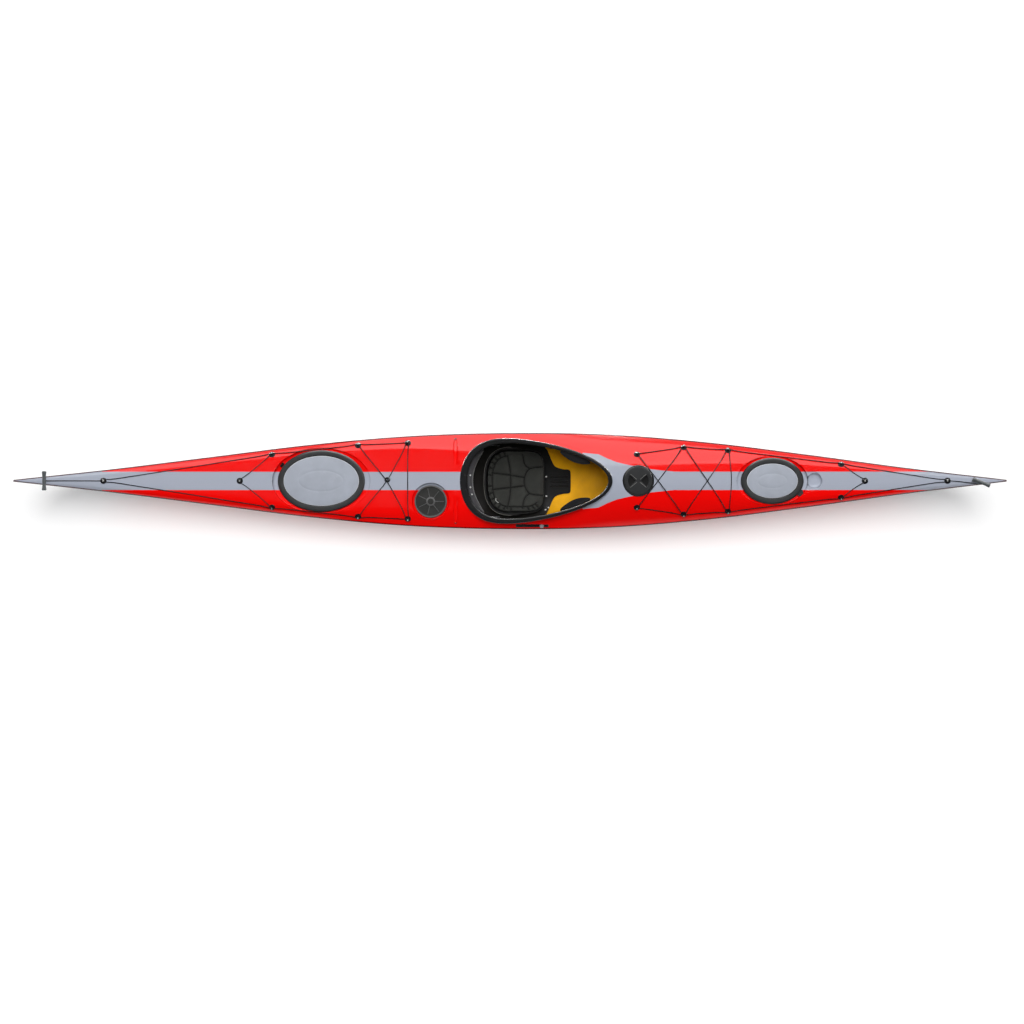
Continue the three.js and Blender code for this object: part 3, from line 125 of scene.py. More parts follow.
class CordSizes(bpy.types.PropertyGroup):
    radius: bpy.props.FloatProperty(
        name="Cord radius", description="Radius of deck lines and bungees", default=0.0025, unit="LENGTH")
    flange: bpy.props.FloatProperty(
        name="Flange radius", description="Radius of a deck fitting's foot", default=0.0175, unit="LENGTH")
    cap: bpy.props.FloatProperty(
        name="Cap radius", description="Radius of a deck fitting's cap", default=0.009, unit="LENGTH")
    post: bpy.props.FloatProperty(
        name="Post radius", description="Radius of a deck fitting's post", default=0.004, unit="LENGTH")
    low: bpy.props.FloatProperty(
        name="Low layer", description="Lift of the lower cord at a fitting", default=0.0059, unit="LENGTH")
    high: bpy.props.FloatProperty(
        name="High layer", description="Lift of the upper cord at a fitting", default=0.0125, unit="LENGTH")


class StageSettings(bpy.types.PropertyGroup):
    key_strength: bpy.props.FloatProperty(
        name="Key strength", description="Strength of the overhead light", default=3.2)
    key_tilt: bpy.props.FloatProperty(
        name="Key tilt", description="Lean of the overhead light to port", default=0.3, subtype="ANGLE")
    key_size: bpy.props.FloatProperty(
        name="Key size", description="Angle that the overhead light spans", default=0.8, subtype="ANGLE")
    side_glow: bpy.props.FloatProperty(
        name="Side glow", description="Brightness of the tall light that only reflections show", default=2.2)
    strip_glow: bpy.props.FloatProperty(
        name="Strip glow", description="Brightness of the low lights that draw the glints", default=260.0)
    world: bpy.props.FloatProperty(
        name="World", description="Strength of the light all round", default=0.035)
    floor_glow: bpy.props.FloatProperty(
        name="Floor glow", description="Share of the floor's white that shadows don't dim", default=0.31)
    far_glow: bpy.props.FloatProperty(
        name="Far glow", description="Brightness of the two long lights ahead and astern", default=190.0)
    camera_height: bpy.props.FloatProperty(
        name="Camera height", description="Height of the camera over the floor", default=15.85, unit="LENGTH")


# Shader maths


class Value:
    """A shader socket, or a number, in an expression that adds its own Math nodes."""

    def __init__(self, paint, socket):
        self.paint = paint
        self.socket = socket

    def math(self, operation, *others):
        values = {i: other for i, other in enumerate((self, *others))}
        return self.paint.node("ShaderNodeMath", {"operation": operation}, values)

    def __add__(self, other):
        return self.math("ADD", other)

    def __sub__(self, other):
        return self.math("SUBTRACT", other)

    def __rsub__(self, other):
        return self.paint.node("ShaderNodeMath", {"operation": "SUBTRACT"}, {0: other, 1: self})

    def __mul__(self, other):
        return self.math("MULTIPLY", other)

    def __truediv__(self, other):
        return self.math("DIVIDE", other)

    def __gt__(self, other):
        return self.math("GREATER_THAN", other)

    def __abs__(self):
        return self.math("ABSOLUTE")

    __radd__ = __add__
    __rmul__ = __mul__

    def sin(self):
        return self.math("SINE")

    def smooth(self, low, high):
        """0 below low and 1 above high, with a soft step between."""
        inputs = {"Value": self, "From Min": low, "From Max": high}
        return self.paint.node("ShaderNodeMapRange", {"interpolation_type": "SMOOTHSTEP"}, inputs)

    def most(self, other):
        return self.math("MAXIMUM", other)


LOOKS = {}


class Paint:
    """A material with one Principled shader, and the nodes that feed it, kept in LOOKS under its name."""

    def __init__(self, name, **sockets):
        self.material = LOOKS[name] = bpy.data.materials.new(name)
        self.material.use_nodes = True
        self.nodes = self.material.node_tree.nodes
        self.links = self.material.node_tree.links
        self.shader = self.nodes["Principled BSDF"]
        self.set(**sockets)

    def set(self, **sockets):
        for key, value in sockets.items():
            self.feed(self.shader.inputs[key.replace("_", " ")], value)
        return self

    def feed(self, socket, value):
        if isinstance(value, Value):
            self.links.new(value.socket, socket)
        elif socket.type == "RGBA":
            socket.default_value = (*tuple(value)[:3], 1.0)
        else:
            socket.default_value = value

    def node(self, kind, settings=None, inputs=None, output=0):
        """Adds a node with its settings, then its sockets' values or links, and gives one of its outputs."""
        node = self.nodes.new(kind)
        for key, value in (settings or {}).items():
            if key == "stops":
                ramp = node.color_ramp
                while len(ramp.elements) < len(value):
                    ramp.elements.new(0.5)
                for element, (place, colour) in zip(ramp.elements, value):
                    element.position = place
                    element.color = (*colour, 1.0)
            else:
                setattr(node, key, value)
        for key, value in (inputs or {}).items():
            self.feed(node.inputs[key], value)
        return Value(self, node.outputs[output])

    def place(self):
        return self.node("ShaderNodeTexCoord", output="Object")

    def axes(self):
        split = self.node("ShaderNodeSeparateXYZ", None, {0: self.place()})
        return [Value(self, split.socket.node.outputs[i]) for i in range(3)]

    def noise(self, scale, detail=2.0, roughness=0.5, vector=None):
        inputs = {"Vector": vector or self.place(), "Scale": scale, "Detail": detail, "Roughness": roughness}
        return self.node("ShaderNodeTexNoise", None, inputs, "Fac")

    def cells(self, scale):
        return self.node("ShaderNodeTexVoronoi", None, {"Vector": self.place(), "Scale": scale}, "Distance")

    def mix(self, factor, first, second):
        """A Mix node for colours, whose sockets 6 and 7 and output 2 are those for colour."""
        return self.node("ShaderNodeMix", {"data_type": "RGBA"}, {0: factor, 6: first, 7: second}, 2)

    def mark(self, name):
        """A number that the mesh keeps at each point."""
        return self.node("ShaderNodeAttribute", {"attribute_name": name}, output="Fac")

    def ramp(self, factor, stops):
        return self.node("ShaderNodeValToRGB", {"stops": stops}, {"Fac": factor}, "Color")

    def bump(self, height, distance, strength=1.0):
        inputs = {"Height": height, "Distance": distance, "Strength": strength}
        self.set(Normal=self.node("ShaderNodeBump", None, inputs, "Normal"))
        return self


def shade(colour, factor):
    return tuple(channel * factor for channel in colour)


# The grey stripe's half width ahead of the cockpit, by share of the way, and where the tips turn grey
STRIPE_FLARE = (
    (0.0, 0.154), (0.17, 0.146), (0.27, 0.122), (0.37, 0.102), (0.5, 0.087), (0.75, 0.063), (1.0, 0.05),
)
FLARE_START = 0.40
FLARE_END = 0.90
STRIPE_BLUR = 0.0006
STERN_GREY = (2.205, 2.2065)
BOW_GREY = (2.352, 2.3535)
GREY_SLANT = 0.35
EDGE_DARK_BLUR = (0.004, 0.008)
EDGE_DARK_RED = (0.06, 0.002, 0.002)
SCUFFED_RED = (0.45, 0.2, 0.18)
SCUFF_HEIGHT = 0.09
# Painted shade: aft of this place the hull's inside is painted near-black, for the shadow round the seat
SHADE_BLACK_AFT_OF = 0.2
SHADE_BLACK = (0.014, 0.013, 0.012)
SHADE_BLUR = 0.004


def stripe_mask(paint, x, y, half):
    """The stripe on the centre line, its flare round the front of the cockpit, and the two tips."""
    along = (x - FLARE_START) / (FLARE_END - FLARE_START)
    width = paint.ramp(along, [(place, (value,) * 3) for place, value in STRIPE_FLARE])
    ahead = x > FLARE_START
    reach = ahead * width + (1 - ahead) * half
    stripe = 1 - (abs(y) - reach).smooth(-STRIPE_BLUR, STRIPE_BLUR)
    stern = (-1 * x - abs(y) * GREY_SLANT).smooth(*STERN_GREY)
    bow = (x - abs(y) * GREY_SLANT).smooth(*BOW_GREY)
    return stripe.most(stern).most(bow)


def gelcoat(name, colours):
    """Glossy red with the grey stripe, dark along the seam of hull and deck and scuffed low down."""
    paint = Paint(name, Coat_Weight=0.35, Coat_Roughness=0.04, Coat_IOR=1.5, Specular_IOR_Level=0.4)
    x, y, z = paint.axes()
    deep = paint.mix(paint.noise(1.3, 3.0), shade(colours.red, 0.94), colours.red)
    fine = paint.noise(420.0, 2.0)
    flaked = paint.mix(fine, shade(colours.grey, 0.92), shade(colours.grey, 1.05))
    deep = paint.mix(stripe_mask(paint, x, y, colours.stripe), deep, flaked)
    # A darker red in a thin band along the seam of hull and deck
    deep = paint.mix(paint.mark("edge").smooth(*EDGE_DARK_BLUR), EDGE_DARK_RED, deep)
    scuff = paint.noise(55.0, 4.0, 0.7).smooth(0.62, 0.8)
    wear_and_highlight = scuff * (1 - z.smooth(0.0, SCUFF_HEIGHT))
    paint.set(Base_Color=paint.mix(wear_and_highlight * 0.35, deep, SCUFFED_RED))
    paint.set(Roughness=0.09 + paint.noise(9.0, 3.0) * 0.05 + wear_and_highlight * 0.3)
    peel = paint.noise(160.0, 1.0) + paint.noise(18.0, 1.0) * 2.0
    return paint.bump(peel, 0.0002, 0.35).material


def laminate(name, colour, weave=0.0032, gloss=0.35, dark=None, coat=0.3):
    """Woven cloth under resin. Where a place along the hull is given, it is painted near-black aft of it:
    painted shade for the shadow and the unbuilt black seat sides round the seat.
    """
    paint = Paint(name, Coat_Weight=coat, Coat_Roughness=0.2, Specular_IOR_Level=0.12)
    x, y, z = paint.axes()
    turn = 2 * math.pi / weave
    cloth = ((x + z * 0.5) * turn).sin() * ((y + z * 0.5) * turn).sin()
    cloth = cloth * 0.5 + 0.5
    patch = paint.noise(7.0, 3.0)
    tone = paint.mix(cloth, shade(colour, 0.78), shade(colour, 1.12))
    tone = paint.mix(patch.smooth(0.35, 0.75), tone, shade(colour, 0.72))
    # Painted shade: near-black aft of the given place
    if dark is not None:
        tone = paint.mix(x.smooth(dark - SHADE_BLUR, dark + SHADE_BLUR), SHADE_BLACK, tone)
    paint.set(Base_Color=tone, Roughness=gloss + patch * 0.15)
    return paint.bump(cloth, 0.00035, 0.5).material


def moulded(name, colour, rough=0.45, grain=700.0, depth=0.00015, wear=None, shine=0.5):
    """Moulded plastic or gelcoat with a fine grain and duller, paler scuffs."""
    paint = Paint(name, Specular_IOR_Level=shine)
    pores = paint.cells(grain)
    scuff = paint.noise(38.0, 5.0, 0.65).smooth(0.55, 0.85)
    tone = paint.mix(paint.noise(14.0, 3.0), shade(colour, 0.85), shade(colour, 1.15))
    tone = paint.mix(scuff * 0.4, tone, wear or shade(colour, 2.2))
    paint.set(Base_Color=tone, Roughness=rough + scuff * 0.15)
    return paint.bump(pores, depth, 0.6).material


def rubber(name, colour, rough=0.62):
    """Matt rubber with a little pale dust."""
    paint = Paint(name, Specular_IOR_Level=0.3)
    dust = paint.noise(26.0, 5.0, 0.6)
    tone = paint.mix(dust.smooth(0.4, 0.8), colour, shade(colour, 1.45))
    paint.set(Base_Color=tone, Roughness=rough + dust * 0.15)
    return paint.bump(paint.noise(650.0, 3.0), 0.0002, 0.5).material


def woven(name, colour, thread=0.0016, sheen=0.3, seam_shade=False):
    """Coarse cloth, with threads both ways and a little fuzz. Where asked, it is painted darker along its
    sewn channels: painted shade in their creases.
    """
    paint = Paint(name, Sheen_Weight=sheen, Sheen_Roughness=0.4)
    x, y, z = paint.axes()
    turn = 2 * math.pi / thread
    over = ((x + z) * turn).sin() * (y * turn).sin()
    wear_and_highlight = paint.noise(11.0, 4.0)
    tone = paint.mix(over * 0.5 + 0.5, shade(colour, 0.72), shade(colour, 1.2))
    tone = paint.mix(wear_and_highlight.smooth(0.45, 0.8), tone, shade(colour, 1.35))
    if seam_shade:
        # Painted shade in the creases of the sewn channels
        tone = paint.mix(paint.mark("seam") * 0.9, tone, shade(colour, 0.12))
    paint.set(Base_Color=tone, Roughness=0.78 + wear_and_highlight * 0.12)
    return paint.bump(over + paint.noise(900.0, 2.0), 0.0003, 0.5).material


def braid(name, colour, pitch=0.0034):
    """Braided cord, with strands that cross at a slant."""
    paint = Paint(name, Specular_IOR_Level=0.08)
    x, y, z = paint.axes()
    turn = 2 * math.pi / pitch
    strands = ((x + y + z) * turn).sin() * ((x - y + z) * turn).sin()
    tone = paint.mix(strands * 0.5 + 0.5, shade(colour, 0.6), shade(colour, 1.5))
    fleck = paint.noise(300.0, 1.0).smooth(0.62, 0.68)
    tone = paint.mix(fleck * 0.5, tone, (0.12, 0.12, 0.13))
    paint.set(Base_Color=tone, Roughness=0.7 + fleck * 0.1)
    return paint.bump(strands, 0.0005, 0.8).material


def metal(name, colour, rough=0.3, share=1.0):
    """Metal brushed along the boat."""
    paint = Paint(name, Metallic=share)
    x, y, z = paint.axes()
    stretch = paint.node("ShaderNodeCombineXYZ", None, {0: x * 6.0, 1: y * 300.0, 2: z * 300.0})
    brushed = paint.noise(3.0, 4.0, 0.6, stretch)
    paint.set(Base_Color=paint.mix(brushed, shade(colour, 0.85), colour), Roughness=rough + brushed * 0.15)
    return paint.bump(brushed, 0.0001, 0.3).material


# Building pieces

WELD = 1e-6
CAD_WELD = 0.00002
LEAST_ROOM = 0.45
FLAT_ANGLE = math.radians(2)
PAD_PRESSURE = 4.0
PAD_MOMENTS = 20
LEAST_MOVE = 1e-9


def loop(bm, points):
    """A closed loop of vertices and edges."""
    verts = [bm.verts.new(point) for point in points]
    edges = [bm.edges.new((verts[i - 1], verts[i])) for i in range(len(verts))]
    return verts, edges


def loft(bm, outlines, closed=False):
    """Extrudes a closed outline through the others, then welds the last to the first or caps both ends."""
    verts, edges = loop(bm, outlines[0])
    rings, ends = [verts], [edges]
    for outline in [*outlines[1:], *outlines[:1]] if closed else outlines[1:]:
        grown = set(bmesh.ops.extrude_edge_only(bm, edges=edges)["geom"])
        verts = [
            next(edge.other_vert(old) for edge in old.link_edges if edge.other_vert(old) in grown)
            for old in verts
        ]
        for vert, point in zip(verts, outline):
            vert.co = point
        edges = [bm.edges.get((verts[i - 1], verts[i])) for i in range(len(verts))]
        rings.append(verts)
        ends.append(edges)
    if closed:
        bmesh.ops.weld_verts(bm, targetmap=dict(zip(rings.pop(), rings[0])))
    else:
        for edges in (ends[0], ends[-1]):
            bmesh.ops.edgeloop_fill(bm, edges=edges)
    return rings


def lofted(outlines, closed=False):
    """A new bmesh, lofted through outlines."""
    bm = bmesh.new()
    loft(bm, outlines, closed)
    return bm


def oval(x, y, semi_x, semi_y, z, sides):
    """A level oval's points round a place."""
    turns = [2 * math.pi * i / sides for i in range(sides)]
    return [(x + semi_x * math.cos(turn), y + semi_y * math.sin(turn), z) for turn in turns]


def ovals(x, y, rows, sides, closed=False):
    """A body lofted through ovals, each of two half widths and a height."""
    return lofted([oval(x, y, semi_x, semi_y, z, sides) for semi_x, semi_y, z in rows], closed)


def turned(bm, steps):
    """Spins a bmesh's lines once about an upright axis."""
    bmesh.ops.spin(
        bm, geom=bm.verts[:] + bm.edges[:], cent=(0, 0, 0), axis=(0, 0, 1), dvec=(0, 0, 0),
        angle=2 * math.pi, steps=steps, use_merge=True, use_duplicate=False)
    bmesh.ops.remove_doubles(bm, verts=bm.verts, dist=WELD)


def spun(profile, centre=(0.0, 0.0, 0.0), steps=64):
    """A profile of radius and height turned about an upright axis."""
    bm = bmesh.new()
    verts = [bm.verts.new((radius, 0.0, height)) for radius, height in profile]
    for pair in zip(verts, verts[1:]):
        bm.edges.new(pair)
    turned(bm, steps)
    bmesh.ops.dissolve_degenerate(bm, edges=bm.edges, dist=WELD)
    bmesh.ops.translate(bm, verts=bm.verts, vec=Vector(centre))
    return bm


def rounded(profile, radius, segments=3):
    """Rounds the inner corners of an open profile."""
    points = [Vector(point) for point in profile]
    result = [points[0]]
    for before, corner, after in zip(points, points[1:], points[2:]):
        cut = min(radius, (corner - before).length * LEAST_ROOM, (after - corner).length * LEAST_ROOM)
        start = corner + (before - corner).normalized() * cut
        end = corner + (after - corner).normalized() * cut
        for i in range(segments + 1):
            share = i / segments
            result.append(start.lerp(corner, share).lerp(corner.lerp(end, share), share))
    result.append(points[-1])
    return [tuple(point) for point in result]


def rounded_loop(profile, radius, segments=3):
    """Rounds every corner of a closed profile."""
    around = [profile[-1], *profile, profile[0]]
    return rounded(around, radius, segments)[1:-1]


def block(size, centre, bevel=0.0, segments=2):
    """A box, with its edges rounded where a bevel is given."""
    bm = bmesh.new()
    matrix = Matrix.Translation(Vector(centre)) @ Matrix.Diagonal((*size, 1.0))
    bmesh.ops.create_cube(bm, size=1.0, matrix=matrix)
    if bevel:
        bmesh.ops.bevel(
            bm, geom=bm.edges[:], offset=bevel, affect="EDGES", segments=segments, profile=0.5, material=-1)
    return bm


def copied(node):
    """A merged copy of a CAD node's mesh."""
    bm = bmesh.new()
    bm.from_mesh(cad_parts[node].data)
    bmesh.ops.remove_doubles(bm, verts=bm.verts, dist=CAD_WELD)
    bmesh.ops.dissolve_limit(bm, angle_limit=FLAT_ANGLE, verts=bm.verts, edges=bm.edges)
    return bm


def merged(*meshes):
    """One bmesh of several, each freed."""
    whole = bmesh.new()
    for bm in meshes:
        part = bpy.data.meshes.new("part")
        bm.to_mesh(part)
        bm.free()
        whole.from_mesh(part)
        bpy.data.meshes.remove(part)
    return whole


def made(name, bm, materials, sharp=35.0):
    """An object at the origin from a bmesh, its faces outwards, shaded smooth up to an angle."""
    bmesh.ops.recalc_face_normals(bm, faces=bm.faces)
    if bm.calc_volume(signed=True) < 0:
        bmesh.ops.reverse_faces(bm, faces=bm.faces)
    mesh = bpy.data.meshes.new(name)
    bm.to_mesh(mesh)
    bm.free()
    for material in materials if isinstance(materials, (list, tuple)) else [materials]:
        mesh.materials.append(material)
    smooth(mesh, sharp)
    obj = bpy.data.objects.new(name, mesh)
    bpy.context.scene.collection.objects.link(obj)
    return obj


def smooth(mesh, sharp):
    mesh.polygons.foreach_set("use_smooth", [True] * len(mesh.polygons))
    mesh.set_sharp_from_angle(angle=math.radians(sharp))


def modify(obj, kind, **settings):
    modifier = obj.modifiers.new(kind.title(), kind)
    for key, value in settings.items():
        setattr(modifier, key, value)
    return modifier


def applied(obj, sharp=35.0):
    """Applies the modifiers to the mesh."""
    graph = bpy.context.evaluated_depsgraph_get()
    mesh = bpy.data.meshes.new_from_object(obj.evaluated_get(graph), depsgraph=graph)
    old = obj.data
    obj.modifiers.clear()
    obj.data = mesh
    bpy.data.meshes.remove(old)
    smooth(mesh, sharp)
    mesh.name = obj.name
    return obj


def bevelled(obj, width, segments=3, angle=40.0, sharp=40.0):
    """Rounds the edges that bend by more than an angle."""
    limit = math.radians(angle)
    modify(obj, "BEVEL", width=width, segments=segments, limit_method="ANGLE", angle_limit=limit)
    return applied(obj, sharp)


def carve(obj, *cutters, operation="DIFFERENCE", mark=False):
    """Cuts other bmeshes out of an object. Marked walls get the second material."""
    for bm in cutters:
        if mark:
            for face in bm.faces:
                face.material_index = 1
        cutter = made("cutter", bm, list(obj.data.materials))
        modify(obj, "BOOLEAN", operation=operation, object=cutter, solver="EXACT")
        applied(obj)
        bpy.data.objects.remove(cutter)
    return obj


def swollen(obj, cap):
    """Lets a pad swell as cloth, with no point moved further than the cap."""
    start = [vert.co.copy() for vert in obj.data.vertices]
    cloth = modify(obj, "CLOTH")
    cloth.settings.use_pressure = True
    cloth.settings.uniform_pressure_force = PAD_PRESSURE
    cloth.settings.effector_weights.gravity = 0.0
    cloth.collision_settings.use_collision = False
    for moment in range(1, PAD_MOMENTS + 1):
        bpy.context.scene.frame_set(moment)
    applied(obj, 80.0)
    bpy.context.scene.frame_set(1)
    for vert, before in zip(obj.data.vertices, start):
        move = vert.co - before
        vert.co = before + move * min(cap / max(move.length, LEAST_MOVE), 1.0)
    modify(obj, "SUBSURF", levels=1, render_levels=1)
    return applied(obj, 80.0)


def finish_piece(obj, body, nodes=()):
    """Puts a piece in the place of CAD nodes, on the body it moves with."""
    if nodes:
        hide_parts(*nodes)
    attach(obj, body)
    return obj


def repaint(node, material):
    """A better material on a CAD node that keeps its shape."""
    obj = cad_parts[node]
    for place in obj.material_slots:
        place.link = "OBJECT"
        place.material = material


# Lines of the hull and deck, as shares at eleven stations from the stern to the bow

BREADTH = (0.02, 0.246, 0.504, 0.758, 0.936, 1, 0.966, 0.803, 0.549, 0.269, 0.02)
SHEER = (1.64, 1.43, 1.22, 1.09, 1.02, 1, 1.04, 1.15, 1.31, 1.52, 1.78)
CROWN = (0.08, 0.2, 0.3, 0.36, 0.34, 0.62, 1, 0.74, 0.42, 0.24, 0.08)
CREASE = (0.5, 0.62, 0.7, 0.74, 0.7, 0.52, 0.38, 0.46, 0.6, 0.6, 0.5)
KEEL_SHARE = 0.12
BILGE_POWER = 2.2
TOPSIDE_POWER = 1.8
STEM_POWER = 11
CREASE_DROP = 0.12
DECK_BULGE = 0.5
HULL_ROWS = 18
CREASE_ROWS = 5
EDGE_ROWS = 10
STATIONS = 132
EVEN_SHARE, SINE_SHARE = 0.55, 0.45
SEAM_REACH = 0.004
SEAM_BAND = 0.008
LEVEL = 0.7
ROUNDED_ANGLE = math.radians(42)
GAP = 0.0003


def sizes():
    return bpy.context.scene.kayak_hull


def along(shares, x):
    """A smooth curve through the shares at a place along the boat."""
    last = len(shares) - 1
    place = (x / LENGTH + 0.5) * last
    i = min(max(math.floor(place), 0), last - 1)
    near, far = shares[i], shares[i + 1]
    before = shares[i - 1] if i > 0 else 2 * shares[0] - shares[1]
    after = shares[i + 2] if i < last - 1 else 2 * shares[last] - shares[last - 1]
    t = place - i
    slope, next_slope, rise = (far - before) / 2, (after - near) / 2, far - near
    bend = (3 * rise - 2 * slope - next_slope) * t * t
    return near + slope * t + bend + (slope + next_slope - 2 * rise) * t ** 3


def keel_height(x):
    flat = sizes().flat_keel / 2
    run = max(abs(x) - flat, 0) / (LENGTH / 2 - flat)
    tip = along(SHEER, math.copysign(LENGTH / 2, x)) * sizes().sheer - sizes().tip_depth
    return sizes().rocker * run ** 2 + (tip - sizes().rocker) * run ** STEM_POWER


def within(x):
    """A place along the boat, held between its tips."""
    return max(min(x, LENGTH / 2), -LENGTH / 2)


def station(x):
    """Half breadth, sheer height, crown and the crease's share of the half breadth."""
    half = along(BREADTH, x) * BEAM / 2
    return half, along(SHEER, x) * sizes().sheer, along(CROWN, x) * sizes().crown, along(CREASE, x)


def deck_drop(y, half, crown, crease):
    """Height over the sheer at a distance from the centre line."""
    share = min(abs(y) / half, 1.0)
    if share <= crease:
        return crown * (1 - CREASE_DROP * (share / crease) ** 2)
    u = (share - crease) / (1 - crease)
    return crown * (1 - CREASE_DROP) * (1 - u) * (1 + DECK_BULGE * u)


def deck_height(x, y):
    half, sheer, crown, crease = station(x)
    return sheer + deck_drop(y, half, crown, crease)


def deck_frame(x, y, step=0.006):
    """The matrix that lays a piece, made at the origin, on the deck."""
    dx = (deck_height(x + step, y) - deck_height(x - step, y)) / (2 * step)
    dy = (deck_height(x, y + step) - deck_height(x, y - step)) / (2 * step)
    normal = Vector((-dx, -dy, 1)).normalized()
    forward = Vector((1, 0, dx)).normalized()
    across = normal.cross(forward)
    matrix = Matrix((forward, across, normal)).transposed().to_4x4()
    return Matrix.Translation((x, y, deck_height(x, y))) @ matrix


def on_deck(x, y, lift):
    return deck_frame(x, y) @ Vector((0, 0, lift))


def stations():
    """Places along the boat, closer together towards the tips."""
    places = []
    for i in range(-STATIONS // 2, STATIONS // 2 + 1):
        share = i / (STATIONS // 2)
        places.append(LENGTH / 2 * (EVEN_SHARE * share + SINE_SHARE * math.sin(share * math.pi / 2)))
    return places


def hull_outline(x):
    half, sheer, _, _ = station(x)
    keel = keel_height(x)
    flat = half * KEEL_SHARE
    side = []
    for i in range(HULL_ROWS + 1):
        t = i / HULL_ROWS
        y = flat + (half - flat) * (1 - (1 - t) ** BILGE_POWER)
        side.append((y, keel + (sheer - keel) * t ** TOPSIDE_POWER))
    starboard = [(x, -y, z) for y, z in reversed(side)]
    port = [(x, y, z) for y, z in side]
    return starboard + port


def deck_outline(x):
    half, sheer, crown, crease = station(x)
    shares = [crease * i / CREASE_ROWS for i in range(CREASE_ROWS + 1)]
    shares += [crease + (1 - crease) * i / EDGE_ROWS for i in range(1, EDGE_ROWS + 1)]
    side = [(half * share, sheer + deck_drop(half * share, half, crown, crease)) for share in shares]
    port = [(x, y, z) for y, z in reversed(side)]
    starboard = [(x, -y, z) for y, z in side[1:]]
    return port + starboard


def opened(obj, side):
    """Takes away the flat face at the seam and the cuts' marked walls, then gives the shell its wall."""
    bm = bmesh.new()
    bm.from_mesh(obj.data)
    gone = []
    for face in bm.faces:
        centre = face.calc_center_median()
        sheer = station(within(centre.x))[1]
        flat = face.normal.z * side > LEVEL and abs(centre.z - sheer) < SEAM_REACH
        if flat or face.material_index == 1:
            gone.append(face)
    bmesh.ops.delete(bm, geom=gone, context="FACES")
    bm.to_mesh(obj.data)
    bm.free()
    modify(obj, "SOLIDIFY", thickness=sizes().wall, offset=-1, material_offset=1, material_offset_rim=0)
    return applied(obj, 45.0)


def edge_distances(obj, distance):
    """Keeps each point's distance from the seam of hull and deck as an attribute."""
    mark = obj.data.attributes.new("edge", "FLOAT", "POINT")
    values = [distance(within(vert.co.x), vert.co.y, vert.co.z) for vert in obj.data.vertices]
    mark.data.foreach_set("value", values)


# Deck openings and recesses, in metres from the origin

REAR_HATCH = {"x": -1.031, "y": 0.0, "semi": (0.2385, 0.169), "margin": (0.03, 0.012), "depth": 0.024}
FRONT_HATCH = {"x": 1.435, "y": 0.0, "semi": (0.171, 0.1265), "margin": (0.024, 0.01), "depth": 0.028}
DAY_HATCH = {"x": -0.432, "y": -0.112, "semi": (0.089, 0.089), "margin": (0.013, 0.013), "depth": 0.024}
SCREW_HATCH = {"x": 0.703, "radius": 0.0855, "depth": 0.012, "pod": 0.072}
POD_ROOM = 0.0033
HOLE_GAP = 0.0004
COMPASS = {"x": 1.663, "radius": 0.043, "depth": 0.02, "flat": (1.643, 0.062, 0.054, 0.006)}
COMPASS_SIDES = 72
ROUND_SIDES = 96
RECESS_EDGE = ((-0.006, 0.0), (-0.0025, 0.001), (-0.0008, 0.003), (0.0, 0.007))
COMPASS_EDGE = ((-0.005, 0.0), (-0.0015, 0.0012), (0.0, 0.005))
COMPASS_BOWL = ((0.0, 1.0), (0.5, 0.96), (0.85, 0.7), (1.0, 0.0))
GROOVE = {"x": -0.296, "radius": 0.014, "inner": 0.082, "outer": 0.232, "sink": 0.008, "ease": 1.6,
          "taper_from": 0.8, "taper_start": 1.05, "taper": 4.2, "least": 0.2}
GROOVE_STEPS = 12
GROOVE_SIDES = 24
SKEG_SLOT = (-1.872, -1.597, 0.009)
TRACK = {"x": 0.125, "y": -0.246, "length": 0.18, "width": 0.02, "cut": 0.024}
SKY = 0.9

COAMING = {"rear": 0.272, "front": 0.562, "half": 0.234, "rear_power": 2.8, "front_power": 1.5,
           "rear_rim": 0.036, "front_rim": 0.02, "rear_top": 0.278, "front_top": 0.353, "sweep": 1.3}
COAMING_SIDES = 144
COAMING_FOOT = 0.012
COAMING_LIP = (
    (0.0085, 0.0), (0.005, 0.0004), (0.0024, 0.0014), (0.0007, 0.003), (0.0, 0.005), (0.0008, 0.0062),
    (0.003, 0.0064), (0.006, 0.0055),
)


def floor_of(hatch):
    return deck_height(hatch["x"], hatch.get("y", 0.0)) - hatch["depth"]


def coaming_inset(turn):
    """How far the coaming's riser stands inside its outer edge, more at the rear than at the front."""
    rear_share = ((1 - math.cos(turn)) / 2) ** 2
    return COAMING["front_rim"] + (COAMING["rear_rim"] - COAMING["front_rim"]) * rear_share


def coaming_point(turn, inset):
    """A place in plan on the coaming's egg shape, drawn in by an inset."""
    cos = math.cos(turn)
    y = (COAMING["half"] - inset) * math.sin(turn)
    if cos >= 0:
        return (COAMING["front"] - inset) * cos ** (2 / COAMING["front_power"]), y
    return -(COAMING["rear"] - inset) * (-cos) ** (2 / COAMING["rear_power"]), y


def coaming_top(x):
    share = max(x + COAMING["rear"], 0) / (COAMING["rear"] + COAMING["front"])
    return COAMING["rear_top"] + (COAMING["front_top"] - COAMING["rear_top"]) * share ** COAMING["sweep"]


def coaming_turns():
    return [2 * math.pi * i / COAMING_SIDES for i in range(COAMING_SIDES)]


def cockpit_cutter(extra):
    """An upright body that fills the cockpit inside the riser."""
    return upright([coaming_point(turn, coaming_inset(turn) + extra) for turn in coaming_turns()], 0.0, SKY)


def hatch_recess(hatch):
    """An oval that widens a little upwards, with a rounded floor edge."""
    floor = floor_of(hatch)
    semi_x = hatch["semi"][0] + hatch["margin"][0]
    semi_y = hatch["semi"][1] + hatch["margin"][1]
    shape = [(semi_x + inset, semi_y + inset, floor + rise) for inset, rise in (*RECESS_EDGE, (0.0, SKY))]
    return ovals(hatch["x"], hatch["y"], shape, bpy.context.scene.kayak_hatches.sides)


